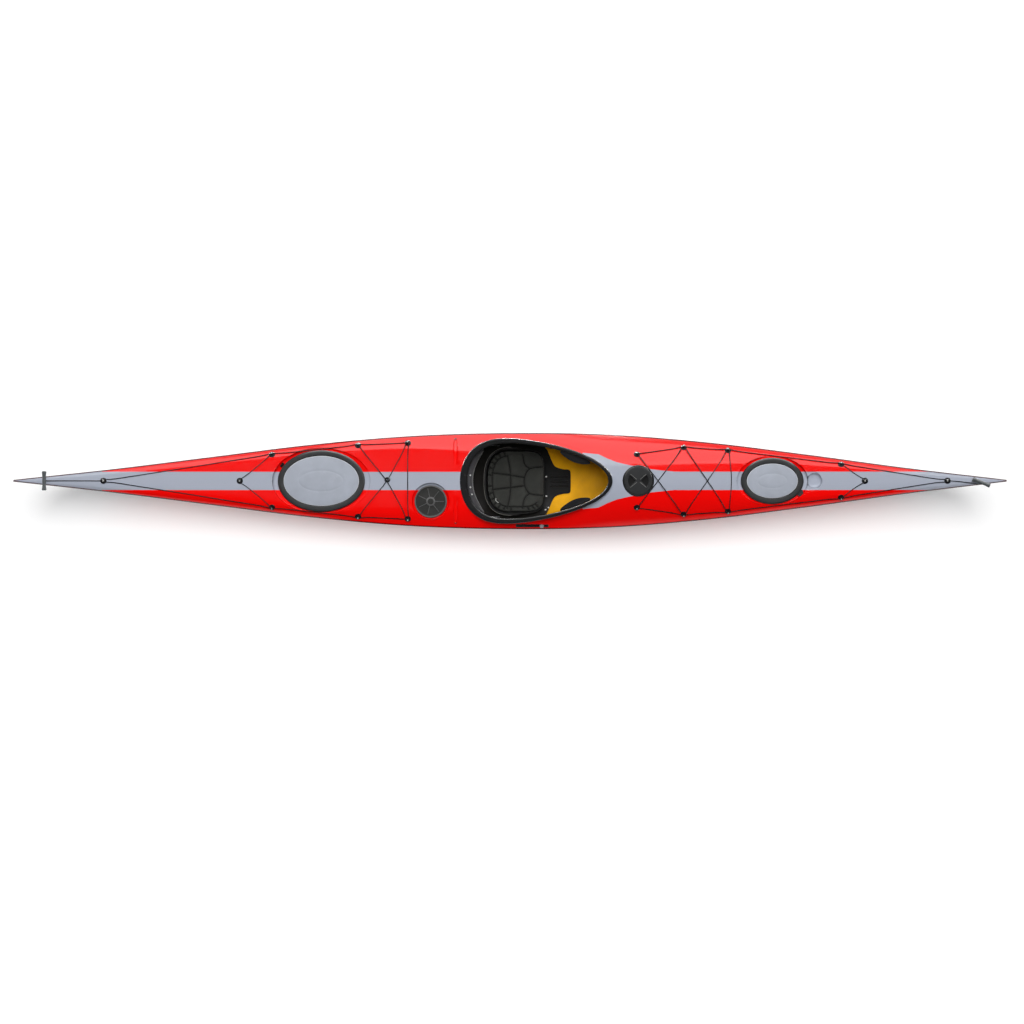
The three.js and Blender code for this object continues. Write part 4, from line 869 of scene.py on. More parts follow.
def compass_dish():
    """The compass recess: a shallow flat, and a bowl in it."""
    x, semi_x, semi_y, depth = COMPASS["flat"]
    level = deck_height(x, 0) - depth
    rows = [(semi_x + inset, semi_y + inset, level + rise) for inset, rise in (*COMPASS_EDGE, (0.0, SKY))]
    flat = ovals(x, 0, rows, ROUND_SIDES)
    radius, deep, top = COMPASS["radius"], COMPASS["depth"], 0.03
    bowl = [(radius * out, -deep * down) for out, down in COMPASS_BOWL]
    centre = (COMPASS["x"], 0.0, deck_height(COMPASS["x"], 0) - depth)
    dish = spun([*rounded(bowl, 0.02, 4), (radius, top), (0.0, top)], centre, COMPASS_SIDES)
    return flat, dish


def paddle_groove(side):
    """A rod laid in the deck, pointed at its outer end, that leaves a groove."""
    outlines = []
    turns = [2 * math.pi * k / GROOVE_SIDES for k in range(GROOVE_SIDES)]
    for i in range(GROOVE_STEPS + 1):
        share = i / GROOVE_STEPS
        x, y = GROOVE["x"], GROOVE["inner"] + (GROOVE["outer"] - GROOVE["inner"]) * share
        deep = GROOVE["sink"] * math.sin(math.pi / 2 * min(share * GROOVE["ease"], 1.0))
        tapered = GROOVE["taper_start"] - (share - GROOVE["taper_from"]) * GROOVE["taper"]
        radius = GROOVE["radius"] * (1 if share < GROOVE["taper_from"] else max(tapered, GROOVE["least"]))
        height = deck_height(x, y) - deep + radius
        outlines.append([
            (x + radius * math.cos(turn), side * y, height + radius * math.sin(turn)) for turn in turns])
    return lofted(outlines)


class KAYAK_OT_hull(bpy.types.Operator):
    """Lofts the hull shell, gives it its wall and cuts the skeg's slot"""
    bl_idname = "kayak.hull"
    bl_label = "Hull shell"

    def execute(self, context):
        colours = context.scene.kayak_colours
        red = gelcoat("red_gelcoat_hull", colours)
        # The hull's inside, with painted shade in near-black aft of the seat's front
        inside = laminate("amber_laminate", colours.amber, dark=SHADE_BLACK_AFT_OF, coat=0.05)
        hull = made("hull", lofted([hull_outline(x) for x in stations()]), [red, inside], 40.0)
        rear, front, width = SKEG_SLOT
        slot = block((front - rear, width, 0.2), ((front + rear) / 2, 0, 0.0))
        carve(hull, slot, mark=True)
        opened(hull, 1)
        edge_distances(hull, lambda x, y, z: station(x)[1] - z)
        finish_piece(hull, "hull", ["hull_shell"])
        return {"FINISHED"}


class KAYAK_OT_deck(bpy.types.Operator):
    """Lofts the deck, carves its recesses, gives it its wall and cuts the cockpit and hatch openings"""
    bl_idname = "kayak.deck"
    bl_label = "Deck shell"

    def execute(self, context):
        red = gelcoat("red_gelcoat_deck", context.scene.kayak_colours)
        inside = laminate("dark_laminate", (0.02, 0.019, 0.018), 0.004, 0.5)
        deck = made("deck", lofted([deck_outline(x) for x in stations()]), [red, inside], 40.0)
        screw = SCREW_HATCH["radius"] + 2 * GAP
        seat_rows = [(screw, screw, floor_of(SCREW_HATCH)), (screw, screw, SKY)]
        cutters = [hatch_recess(hatch) for hatch in (REAR_HATCH, FRONT_HATCH, DAY_HATCH)]
        cutters += [ovals(SCREW_HATCH["x"], 0, seat_rows, ROUND_SIDES), *compass_dish()]
        carve(deck, *cutters, paddle_groove(1), paddle_groove(-1))
        self.weigh(deck)
        modify(deck, "BEVEL", width=sizes().edge_round, segments=4, limit_method="WEIGHT")
        applied(deck, 50.0)
        inset = context.scene.kayak_hatches.rim_inset - HOLE_GAP
        holes = [self.hole(hatch["x"], hatch["y"], [semi - inset for semi in hatch["semi"]])
                 for hatch in (REAR_HATCH, FRONT_HATCH, DAY_HATCH)]
        holes.append(self.hole(SCREW_HATCH["x"], 0, [SCREW_HATCH["pod"] + POD_ROOM] * 2))
        holes += [cockpit_cutter(-GAP), self.track_cut()]
        carve(deck, *holes, mark=True)
        opened(deck, -1)
        edge_distances(deck, lambda x, y, z: station(x)[0] - abs(y))
        finish_piece(deck, "hull", ["deck_shell"])
        return {"FINISHED"}

    def weigh(self, deck):
        """Picks the edges to round: the sharp ones that aren't on the seam with the hull."""
        bm = bmesh.new()
        bm.from_mesh(deck.data)
        weight = bm.edges.layers.float.new("bevel_weight_edge")
        for edge in bm.edges:
            middle = (edge.verts[0].co + edge.verts[1].co) / 2
            half, sheer, _, _ = station(within(middle.x))
            seam = abs(middle.z - sheer) < SEAM_REACH and abs(middle.y) > half - SEAM_BAND
            if not seam and edge.is_manifold and edge.calc_face_angle() > ROUNDED_ANGLE:
                edge[weight] = 1.0
        bm.to_mesh(deck.data)
        bm.free()

    def hole(self, x, y, semi):
        return ovals(x, y, [(*semi, z) for z in (0.0, SKY)], bpy.context.scene.kayak_hatches.sides)

    def track_cut(self):
        slot = block((TRACK["length"] + 2 * GAP, TRACK["width"] + 2 * GAP, TRACK["cut"]), (0, 0, 0))
        bmesh.ops.transform(slot, matrix=track_frame(), verts=slot.verts)
        return slot


def track_frame():
    """The track's place on the deck edge: level along X, and leaning with the deck across."""
    x, y = TRACK["x"], TRACK["y"]
    lean = deck_frame(x, y)
    normal = lean.col[2].to_3d()
    slope = math.atan2(-normal.y, normal.z)
    return Matrix.Translation(lean.translation) @ Matrix.Rotation(slope, 4, "X")


class KAYAK_OT_coaming(bpy.types.Operator):
    """Lofts the cockpit coaming round its profile"""
    bl_idname = "kayak.coaming"
    bl_label = "Cockpit coaming"

    def execute(self, context):
        black = moulded(
            "black_gelcoat", context.scene.kayak_colours.black, rough=0.22, grain=900.0, depth=0.00003,
            wear=(0.03, 0.03, 0.03), shine=0.4)
        sections = [self.section(turn) for turn in coaming_turns()]
        obj = made("coaming", lofted(list(zip(*sections)), closed=True), black, 60.0)
        finish_piece(obj, "hull", ["cockpit_coaming"])
        return {"FINISHED"}

    def section(self, turn):
        """Its section: round the lip, in under it, down the riser, up on the inside and out on top."""
        wall, riser = sizes().wall, coaming_inset(turn)
        top = coaming_top(coaming_point(turn, 0)[0])
        under = top - wall
        bottom = deck_height(*coaming_point(turn, riser)) - COAMING_FOOT
        inner = riser + wall
        profile = [(inset, top - drop) for inset, drop in COAMING_LIP] + [
            (riser - 0.008, under - 0.0006), (riser - 0.003, under - 0.002), (riser, under - 0.006),
            (riser, bottom), (inner, bottom), (inner, top - 0.0085), (inner - 0.0009, top - 0.0044),
            (inner - 0.003, top - 0.0015), (inner - 0.007, top), (riser - 0.005, top),
        ]
        return [(*coaming_point(turn, inset), z) for inset, z in profile]


RIM_LIP = 0.006
RIM_FOOT = 0.01
LIP_ROOM = 0.0063
PULL_TAB = {"place": (0.152, -0.066), "semi": (0.017, 0.02), "drop": 0.006, "round": 0.001, "overlap": 0.005,
            "hole": 0.0028, "hole_shift": 0.006}
PLATE_BASE = 0.004
PLATE_EDGE = ((0.0, 0.0), (0.0, 0.003), (0.0006, 0.0037), (0.0022, 0.0041))
PLATE_SHARES = (0.95, 0.88, 0.8, 0.72)
PLATE_MARK = (0.59, 0.42)
MARK_SECTION = ((0.016, 0.0), (0.004, 0.0), (0.002, 0.0003), (0.0, 0.00045), (-0.002, 0.0003), (-0.004, 0.0))
MARK_SHARES = (0.8, 0.6, 0.4, 0.2)


def oval_ring(hatch, profile):
    """A closed profile of inset and height, carried round a hatch."""
    floor = floor_of(hatch)
    semi_x, semi_y = hatch["semi"]
    rows = [(semi_x - inset, semi_y - inset, floor + rise) for inset, rise in profile]
    return ovals(hatch["x"], hatch["y"], rows, bpy.context.scene.kayak_hatches.sides, closed=True)


def rim_profile(sheet):
    """A rim's section: a flange over the deck's recess, a neck and a flange under it."""
    inset, rise, wall = sheet.rim_inset, sheet.rim_rise, sizes().wall
    under = -wall - GAP
    lip, foot = inset - RIM_LIP, inset - RIM_FOOT
    profile = [
        (inset + wall, rise), (lip, rise), (lip, rise - wall), (inset, rise - wall),
        (inset, under), (foot, under), (foot, under - wall), (inset + wall, under - wall),
    ]
    return rounded_loop(profile, 0.0012, 2)


class KAYAK_OT_hatches(bpy.types.Operator):
    """Makes the rims, rubber rings and plates of the two oval hatches"""
    bl_idname = "kayak.hatches"
    bl_label = "Oval hatches"

    def execute(self, context):
        colours, sheet = context.scene.kayak_colours, context.scene.kayak_hatches
        black = moulded("rim_plastic", colours.black, 0.4)
        ring = rubber("hatch_rubber", (0.026, 0.027, 0.028))
        plate = moulded(
            "plate_plastic", (0.335, 0.362, 0.42), rough=0.42, grain=520.0, depth=0.00018,
            wear=(0.5, 0.52, 0.58))
        light = moulded(
            "plate_edge", (0.62, 0.64, 0.68), rough=0.35, grain=520.0, depth=0.0001, wear=(0.7, 0.7, 0.75))
        for name, hatch in (("rear", REAR_HATCH), ("front", FRONT_HATCH)):
            rim = made(f"{name}_rim", oval_ring(hatch, rim_profile(sheet)), black)
            finish_piece(rim, "hull", [f"{name}_hatch_rim"])
            seal = made(f"{name}_seal", oval_ring(hatch, self.seal_profile(sheet)), ring, 40.0)
            if name == "front":
                self.pull_tab(seal, hatch, sheet)
            finish_piece(seal, f"{name}_hatch_cover", [f"{name}_hatch_seal"])
            cover = self.plate(f"{name}_plate", hatch, sheet, [plate, light])
            finish_piece(cover, f"{name}_hatch_cover", [f"{name}_hatch_plate"])
        return {"FINISHED"}

    def seal_profile(self, sheet):
        """The rubber's section: a rounded top, a ledge for the plate and a groove over the rim's lip."""
        rise, ledge, width = sheet.rubber_rise, sheet.ledge_rise, sheet.rubber_width
        groove = sheet.rim_inset - LIP_ROOM
        low = sheet.rim_rise + GAP
        profile = [
            (0.0, GAP), (0.0, rise * 0.62), (0.0028, rise * 0.86), (0.008, rise * 0.985), (0.014, rise),
            (width - 0.004, rise), (width, rise - 0.0035), (width, ledge), (width + 0.012, ledge),
            (width + 0.012, low), (groove, low), (groove, GAP),
        ]
        return rounded_loop(profile, 0.0018, 2)

    def pull_tab(self, seal, hatch, sheet):
        """The tongue at the lower right of the ring, with its small hole."""
        floor = floor_of(hatch)
        (away, y), (semi_x, semi_y) = PULL_TAB["place"], PULL_TAB["semi"]
        x, top = hatch["x"] + away, floor + sheet.ledge_rise
        soft = PULL_TAB["round"]
        rows = [(semi_x, semi_y, top - PULL_TAB["drop"]), (semi_x, semi_y, top - soft),
                (semi_x - soft, semi_y - soft, top)]
        tab = made("pull_tab", ovals(x, y, rows, 40), seal.data.materials[0])
        inner = [semi - PULL_TAB["overlap"] for semi in hatch["semi"]]
        carve(tab, ovals(hatch["x"], 0, [(*inner, floor), (*inner, floor + sheet.rubber_rise)], ROUND_SIDES))
        hole, shift = PULL_TAB["hole"], PULL_TAB["hole_shift"]
        carve(tab, ovals(x + shift, y - shift, [(hole, hole, floor), (hole, hole, floor + 0.03)], 20))
        join(seal, tab)

    def plate(self, name, hatch, sheet, materials):
        """A low dome with an oval mark, its upper edge in the second material."""
        z = floor_of(hatch) + sheet.ledge_rise + GAP
        semi_x, semi_y = (semi - sheet.rubber_width - GAP for semi in hatch["semi"])

        def height(share):
            return z + PLATE_BASE + sheet.plate_dome * (1 - share ** 2)

        rows = [(semi_x - inset, semi_y - inset, z + rise) for inset, rise in PLATE_EDGE]
        for share in PLATE_SHARES:
            rows.append((semi_x * share, semi_y * share, height(share)))
        mark_x, mark_y = semi_x * PLATE_MARK[0], semi_y * PLATE_MARK[1]
        for extra, drop in MARK_SECTION:
            rows.append((mark_x + extra, mark_y + extra, height((mark_x + extra) / semi_x) - drop))
        for share in MARK_SHARES:
            rows.append((mark_x * share, mark_y * share, height(mark_x * share / semi_x)))
        bm = bmesh.new()
        loops = loft(bm, [oval(hatch["x"], hatch["y"], *row, sheet.sides) for row in rows])
        edge = {vert for verts in loops[1:4] for vert in verts}
        for face in bm.faces:
            if all(vert in edge for vert in face.verts):
                face.material_index = 1
        return made(name, bm, materials, 45.0)


def join(obj, other):
    """Adds another object's mesh to obj and removes it."""
    bm = bmesh.new()
    bm.from_mesh(obj.data)
    bm.from_mesh(other.data)
    bm.to_mesh(obj.data)
    bm.free()
    bpy.data.objects.remove(other)
    return obj


RIBS = 7
RIB = {"size": (0.054, 0.0036, 0.0042), "away": 0.046, "rise": 0.0009, "bevel": 0.0016}


class KAYAK_OT_day_hatch(bpy.types.Operator):
    """Makes the round day hatch: its rim and its ribbed rubber cover"""
    bl_idname = "kayak.day_hatch"
    bl_label = "Day hatch"

    def execute(self, context):
        sheet = context.scene.kayak_hatches
        black = LOOKS["rim_plastic"]
        rim = made("day_rim", oval_ring(DAY_HATCH, rim_profile(sheet)), black)
        finish_piece(rim, "hull", ["day_hatch_rim"])
        cover = rubber("day_rubber", (0.021, 0.021, 0.020), 0.42)
        # Paler rubber for the cover's edge, ribs and raised middle: a painted highlight
        wear_and_highlight = rubber("day_rubber_highlight", (0.10, 0.10, 0.10), 0.4)
        radius, ledge = DAY_HATCH["semi"][0], sheet.ledge_rise
        centre = Vector((DAY_HATCH["x"], DAY_HATCH["y"], floor_of(DAY_HATCH)))
        bm = spun(rounded(self.profile(sheet, radius, ledge), 0.0016, 3), centre, ROUND_SIDES)
        for i in range(RIBS):
            rib = block(RIB["size"], (RIB["away"], 0, ledge + RIB["rise"]), RIB["bevel"], 3)
            turn = Matrix.Translation(centre) @ Matrix.Rotation(2 * math.pi * i / RIBS, 4, "Z")
            bmesh.ops.transform(rib, matrix=turn, verts=rib.verts)
            bm = merged(bm, rib)
        for face in bm.faces:
            if self.is_highlit(face.calc_center_median() - centre, radius, ledge):
                face.material_index = 1
        obj = made("day_cover", bm, [cover, wear_and_highlight], 40.0)
        finish_piece(obj, "day_hatch_cover", ["day_hatch_cover"])
        return {"FINISHED"}

    def profile(self, sheet, radius, ledge):
        """From the middle under the cover out to its edge, and back over its top to the raised middle."""
        groove = radius - sheet.rim_inset + LIP_ROOM
        low = sheet.rim_rise + GAP
        return [
            (0.0, low), (groove, low), (groove, GAP), (radius, GAP), (radius, 0.0165),
            (radius - 0.0025, 0.0195), (radius - 0.007, 0.019), (radius - 0.012, ledge), (0.026, ledge),
            (0.021, ledge + 0.0046), (0.016, ledge + 0.0057), (0.0, ledge + 0.006),
        ]

    def is_highlit(self, place, radius, ledge):
        """Whether a face lies on the cover's edge, on a rib or round the raised middle: the faces that get
        the paler rubber, a painted highlight.
        """
        reach = place.xy.length
        edge = place.z > 0.017 and reach > radius - 0.0075
        rib = place.z > ledge + 0.0016 and 0.028 < reach < radius - 0.013
        middle = place.z > ledge + 0.002 and 0.0165 < reach < 0.0235
        return edge or rib or middle


SCREW_TOP = 0.0115
FAN = {"near": 0.014, "far": 0.056, "half": 0.62, "depth": 0.006}
FAN_STEPS = 8
RIDGE = {"size": (0.044, 0.0024, 0.0018), "place": (0.034, 0.0, 0.0118), "bevel": 0.0007, "turn": 0.70}


class KAYAK_OT_screw_hatch(bpy.types.Operator):
    """Makes the deck pod, the screw lid with its finger recesses and the seal between them"""
    bl_idname = "kayak.screw_hatch"
    bl_label = "Screw hatch"

    def execute(self, context):
        outer, pod = SCREW_HATCH["radius"], SCREW_HATCH["pod"]
        centre = (SCREW_HATCH["x"], 0.0, floor_of(SCREW_HATCH))
        self.pod(centre, outer, pod)
        self.seal(centre, pod)
        self.lid(centre, outer, pod)
        return {"FINISHED"}

    def pod(self, centre, outer, pod):
        """A deep cup with a ring at its top."""
        profile = [
            (0.0, -0.092), (pod + 0.003, -0.092), (pod + 0.003, GAP), (outer, GAP), (outer, 0.0072),
            (outer - 0.002, 0.009), (outer - 0.006, 0.009), (outer - 0.006, 0.004), (pod, 0.004),
            (pod, -0.089), (0.0, -0.089),
        ]
        obj = made("pod", spun(rounded(profile, 0.0012, 2), centre, ROUND_SIDES), LOOKS["rim_plastic"])
        finish_piece(obj, "hull", ["deck_pod"])

    def seal(self, centre, pod):
        near, far, low, high = pod + 0.0008, pod + 0.0063, 0.0043, 0.0063
        profile = rounded_loop([(near, low), (far, low), (far, high), (near, high)], 0.0008, 2)
        ring = [(radius, radius, centre[2] + z) for radius, z in profile]
        obj = made("screw_seal", ovals(centre[0], 0, ring, ROUND_SIDES, closed=True), LOOKS["hatch_rubber"])
        finish_piece(obj, "screw_hatch_seal", ["screw_hatch_seal"])

    def lid(self, centre, outer, pod):
        """A plug with a wider top, two finger recesses in it and four ridges beside them; painted shade
        darkens the recesses and a painted highlight lightens the ridges.
        """
        black = moulded(
            "screw_plastic", (0.021, 0.022, 0.023), rough=0.36, grain=600.0, depth=0.0002,
            wear=(0.05, 0.05, 0.05), shine=0.3)
        # Near-black for the finger recesses' walls and floor: painted shade in them
        hollow = moulded(
            "screw_hollow_shade", (0.008, 0.008, 0.008), rough=0.4, grain=600.0, depth=0.0002,
            wear=(0.02, 0.02, 0.02), shine=0.2)
        # Pale for the ridges: a painted highlight along the recesses' edges
        ridge = moulded(
            "screw_ridge_highlight", (0.16, 0.16, 0.15), rough=0.4, grain=600.0, depth=0.0001, wear=(0.2, 0.2, 0.2))
        edge, plug = outer - 0.0071, pod - 0.0008
        profile = [
            (0.0, 0.0), (plug - 0.005, 0.0), (plug - 0.005, -0.008), (plug, -0.008), (plug, 0.0066),
            (edge, 0.0066), (edge, 0.0085), (edge - 0.001, 0.0104), (edge - 0.004, 0.0113), (0.0, SCREW_TOP),
        ]
        body = spun(rounded(profile, 0.0008, 2), centre, ROUND_SIDES)
        obj = made("screw_lid", body, [black, hollow, ridge], 40.0)
        for side in (0.0, math.pi):
            carve(obj, self.finger_fan(centre, side), mark=True)
        bevelled(obj, 0.0016, angle=50.0)
        lean = RIDGE["turn"]
        for turn in (lean, -lean, math.pi - lean, math.pi + lean):
            self.ridge(obj, centre, turn)
        finish_piece(obj, "screw_hatch_lid", ["screw_hatch_lid"])

    def finger_fan(self, centre, side):
        """An upright body that cuts one finger recess."""
        near, far = FAN["near"], FAN["far"]
        points = [(near * math.cos(side), near * math.sin(side))]
        for i in range(-FAN_STEPS, FAN_STEPS + 1):
            turn = side + FAN["half"] * i / FAN_STEPS
            points.append((far * math.cos(turn), far * math.sin(turn)))
        levels = (SCREW_TOP - FAN["depth"], SCREW_TOP + 0.02)
        return lofted([[(centre[0] + x, y, centre[2] + z) for x, y in points] for z in levels])

    def ridge(self, lid, centre, turn):
        """A thin raised line beside a finger recess, pale: a painted highlight on the recess's edge."""
        bar = block(RIDGE["size"], RIDGE["place"], RIDGE["bevel"], 2)
        place = Matrix.Translation(Vector(centre)) @ Matrix.Rotation(turn, 4, "Z")
        bmesh.ops.transform(bar, matrix=place, verts=bar.verts)
        for face in bar.faces:
            face.material_index = 2
        join(lid, made("ridge", bar, lid.data.materials[0]))


# Deck fittings and cords

PAIRS = {"aft": (-1.3, 0.144), "rear": (-0.831, 0.195), "day": (-0.558, 0.208), "pod": (0.696, 0.145),
         "chart": (0.953, 0.182), "front": (1.195, 0.166), "fore": (1.809, 0.09)}
TETHER = {"place": (-1.2463, 0.0881), "turn": 2.473, "size": (0.014, 0.027, 0.008)}
SCREW_HEAD = 0.0036
CENTRES = {"stern": -2.214, "aft_centre": -1.475, "fore_centre": 1.937, "bow": 2.383}
CORD_GAP = 0.0004
TURN_ROOM = 0.0002
TURN_STEP = 0.22
RUN_CLEAR = 0.0385
RUN_CLEAR_SHARE = 0.2
RUN_STEP = 0.035
SOFTEN = (0.22, 0.56)
LAYER_GAP = 0.001
FRONT_LIFTS = (0.0145, 0.008)
FRONT_BOW = 0.016
CROSSING = -0.67
RING = {"tube": 0.0048, "middle": 0.0112, "shift": (0.001, 0.007), "flatten": 0.9}


class KAYAK_OT_fittings(bpy.types.Operator):
    """Makes the deck fittings, each a flange with a post and a domed cap"""
    bl_idname = "kayak.fittings"
    bl_label = "Deck fittings"

    def execute(self, context):
        nylon = moulded(
            "fitting_nylon", (0.008, 0.008, 0.009), rough=0.2, grain=900.0, depth=0.00008,
            wear=(0.03, 0.03, 0.03), shine=0.22)
        pale = moulded("fitting_screw", (0.42, 0.42, 0.40), 0.3)
        places = {f"{name}_deck_fitting": (x, 0.0) for name, x in CENTRES.items()}
        for name, (x, y) in PAIRS.items():
            places[f"{name}_deck_fitting_port"] = (x, y)
            places[f"{name}_deck_fitting_starboard"] = (x, -y)
        anchor = block(TETHER["size"], (0, 0, TETHER["size"][2] / 2), 0.003, 4)
        foot = Vector((*TETHER["place"], floor_of(REAR_HATCH)))
        laid = Matrix.Translation(foot) @ Matrix.Rotation(TETHER["turn"], 4, "Z")
        bmesh.ops.transform(anchor, matrix=laid, verts=anchor.verts)
        finish_piece(made("tether_anchor", anchor, nylon), "hull")
        for node, (x, y) in places.items():
            bm = spun(rounded(self.profile(context.scene.kayak_cords), 0.0012, 3), steps=40)
            for face in bm.faces:
                place = face.calc_center_median()
                if place.z > context.scene.kayak_cords.high and place.xy.length < SCREW_HEAD:
                    face.material_index = 1
            bmesh.ops.transform(bm, matrix=deck_frame(x, y), verts=bm.verts)
            finish_piece(made(f"{node}_piece", bm, [nylon, pale], 40.0), "hull", [node])
        return {"FINISHED"}

    def profile(self, sheet):
        """Out along the foot, up the post and over the cap."""
        rise = sheet.high + sheet.radius + CORD_GAP
        return [
            (0.0, -0.0005), (sheet.flange, -0.0005), (sheet.flange - 0.0004, 0.0012),
            (sheet.flange * 0.6, 0.003), (sheet.post, 0.0036), (sheet.post, rise), (sheet.cap - 0.001, rise),
            (sheet.cap, rise + 0.0009), (sheet.cap * 0.8, rise + 0.0026), (sheet.cap * 0.45, rise + 0.0036),
            (0.0, rise + 0.0039),
        ]


def turn_points(stop, arriving, leaving, sheet):
    """A cord's way round a fitting's post."""
    lay = deck_frame(stop[0], stop[1])
    reach = sheet.post + CORD_GAP + sheet.radius

    def spot(direction, radius=reach):
        return lay @ Vector((direction.x * radius, direction.y * radius, stop[2]))

    if arriving is None or leaving is None:
        return [spot(leaving if arriving is None else -arriving)]
    side = 1 if arriving.cross(leaving) >= 0 else -1
    first = math.atan2(-arriving.x * side, arriving.y * side)
    turn = arriving.angle(leaving) * side
    steps = max(math.ceil(abs(turn) / TURN_STEP), 1)
    angles = [first + turn * i / steps for i in range(steps + 1)]
    return [spot(Vector((math.cos(angle), math.sin(angle))), reach + TURN_ROOM) for angle in angles]


def run_points(start, end, lift, bow=0.0):
    """A cord's way over the deck between two stops."""
    length = (Vector(end[:2]) - Vector(start[:2])).length
    first = min(RUN_CLEAR_SHARE, RUN_CLEAR / length)
    count = max(round(length / RUN_STEP), 3)
    points = []
    for i in range(count + 1):
        share = first + (1 - 2 * first) * i / count
        x = start[0] + (end[0] - start[0]) * share + bow * math.sin(math.pi * share)
        y = start[1] + (end[1] - start[1]) * share
        points.append(on_deck(x, y, lift))
    return points


def laced(stops, runs):
    """A cord's whole way. A stop has a place, a layer and, where nothing holds it, a fourth value."""
    sheet = bpy.context.scene.kayak_cords
    points = []
    for i, stop in enumerate(stops):
        here = Vector(stop[:2])
        arriving = (here - Vector(stops[i - 1][:2])).normalized() if i else None
        leaving = (Vector(stops[i + 1][:2]) - here).normalized() if i < len(stops) - 1 else None
        if len(stop) > 3:
            points.append(on_deck(*stop[:3]))
        else:
            points.extend(turn_points(stop, arriving, leaving, sheet))
        if leaving is not None:
            points.extend(run_points(stop, stops[i + 1], *runs[i]))
    return points


def softened(points):
    """The points with their corners eased, and the ends kept."""
    side, middle = SOFTEN
    inner = [
        before * side + here * middle + after * side
        for before, here, after in zip(points, points[1:], points[2:])
    ]
    return [points[0], *inner, points[-1]]


def cord_piece(name, points, radius, material):
    """A round cord along its way, as a mesh."""
    points = softened(softened(points))
    curve = bpy.data.curves.new(name, "CURVE")
    curve.dimensions = "3D"
    curve.bevel_depth = radius
    curve.bevel_resolution = 3
    curve.use_fill_caps = True
    spline = curve.splines.new("POLY")
    spline.points.add(len(points) - 1)
    for spot, point in zip(spline.points, points):
        spot.co = (*point, 1.0)
    obj = bpy.data.objects.new(name, curve)
    bpy.context.scene.collection.objects.link(obj)
    graph = bpy.context.evaluated_depsgraph_get()
    mesh = bpy.data.meshes.new_from_object(obj.evaluated_get(graph))
    mesh.materials.clear()
    mesh.materials.append(material)
    mesh.name = name
    bpy.data.objects.remove(obj)
    smooth(mesh, 60)
    result = bpy.data.objects.new(name, mesh)
    bpy.context.scene.collection.objects.link(result)
    return result


def pair_stop(name, side, layer):
    x, y = PAIRS[name]
    return (x, y * side, layer)


class KAYAK_OT_cords(bpy.types.Operator):
    """Lays the deck lines and bungees round their fittings"""
    bl_idname = "kayak.cords"
    bl_label = "Deck lines and bungees"

    def execute(self, context):
        sheet = context.scene.kayak_cords
        cord = braid("deck_cord", (0.009, 0.009, 0.010))
        low, high, rest = sheet.low, sheet.high, sheet.radius + LAYER_GAP
        over = rest + 2 * sheet.radius + LAYER_GAP
        line = ["day", "rear", "aft"]
        self.lay("aft_deck_line", self.perimeter(line, "stern", low), [(rest,)] * 6, cord)
        line = ["pod", "chart", "front", "fore"]
        self.lay("fore_deck_line", self.perimeter(line, "bow", low), [(rest,)] * 8, cord)
        for pair, centre in (("aft", "aft_centre"), ("fore", "fore_centre")):
            stops = [pair_stop(pair, 1, high), (CENTRES[centre], 0.0, low), pair_stop(pair, -1, high)]
            self.lay(f"{pair}_small_bungee", stops, [(rest,)] * 2, cord)
        order = [("pod", 1), ("chart", -1), ("front", 1), ("front", -1), ("chart", 1), ("pod", -1)]
        first, last = FRONT_LIFTS
        under = rest + LAYER_GAP
        runs = [(first,), (under,), (under, FRONT_BOW), (over + LAYER_GAP,), (last,)]
        self.lay("front_bungee", [pair_stop(name, side, high) for name, side in order], runs, cord)
        stops = [pair_stop("rear", 1, high), (CROSSING, 0.0, over, "free"), pair_stop("day", -1, high),
                 pair_stop("day", 1, high), (CROSSING, 0.0, rest, "free"), pair_stop("rear", -1, high)]
        self.lay("rear_bungee", stops, [(over,), (over,), (rest,), (rest,), (rest,)], cord)
        self.ring((rest + over) / 2)
        return {"FINISHED"}

    def perimeter(self, names, end, low):
        """A deck line's stops: out along port, round the tip's fitting and back along starboard."""
        port = [pair_stop(name, 1, low) for name in names]
        starboard = [pair_stop(name, -1, low) for name in reversed(names)]
        return [*port, (CENTRES[end], 0.0, low), *starboard]

    def lay(self, node, stops, runs, material):
        sheet = bpy.context.scene.kayak_cords
        piece = cord_piece(f"{node}_piece", laced(stops, runs), sheet.radius, material)
        return finish_piece(piece, "hull", [node])

    def ring(self, lift):
        """The plastic ring that holds the crossing."""
        bm = bmesh.new()
        bmesh.ops.create_circle(bm, segments=20, radius=RING["tube"])
        bmesh.ops.rotate(bm, verts=bm.verts, matrix=Matrix.Rotation(math.pi / 2, 3, "X"))
        bmesh.ops.translate(bm, verts=bm.verts, vec=(RING["middle"], 0.0, 0.0))
        turned(bm, 40)
        x, y = RING["shift"]
        middle = on_deck(CROSSING + x, y, lift)
        matrix = Matrix.Translation(middle) @ Matrix.Diagonal((1.0, RING["flatten"], 1.0, 1.0))
        bmesh.ops.transform(bm, matrix=matrix, verts=bm.verts)
        finish_piece(made("bungee_olive", bm, LOOKS["fitting_nylon"]), "hull")


STERN_TOGGLE = {"x": -2.533, "y": 0.0, "length": 0.105, "turn": 0.0, "lift": 0.0105}
BOW_TOGGLE = {"x": 2.563, "y": -0.009, "length": 0.1, "turn": 1.21, "lift": 0.0135}
STERN_CORD = (
    (-2.29, 0, 0.0035), (-2.36, 0, 0.0035), (-2.43, 0, 0.0035), (-2.49, 0, 0.005), (-2.5224, 0, 0.01),
)
BOW_CORD = ((2.45, -0.005, 0.0035), (2.5, -0.011, 0.006), (2.53, -0.0155, 0.01), (2.556, -0.0202, 0.0135))
TOGGLE_CORD_START = {"away": 0.013, "lift": 0.0052}
TOGGLE_RADIUS = 0.013
TOGGLE_WAIST = 0.003
GRIP_GROOVES = {"count": 5, "pitch": 0.008, "half": 0.0012, "shrink": 0.94}


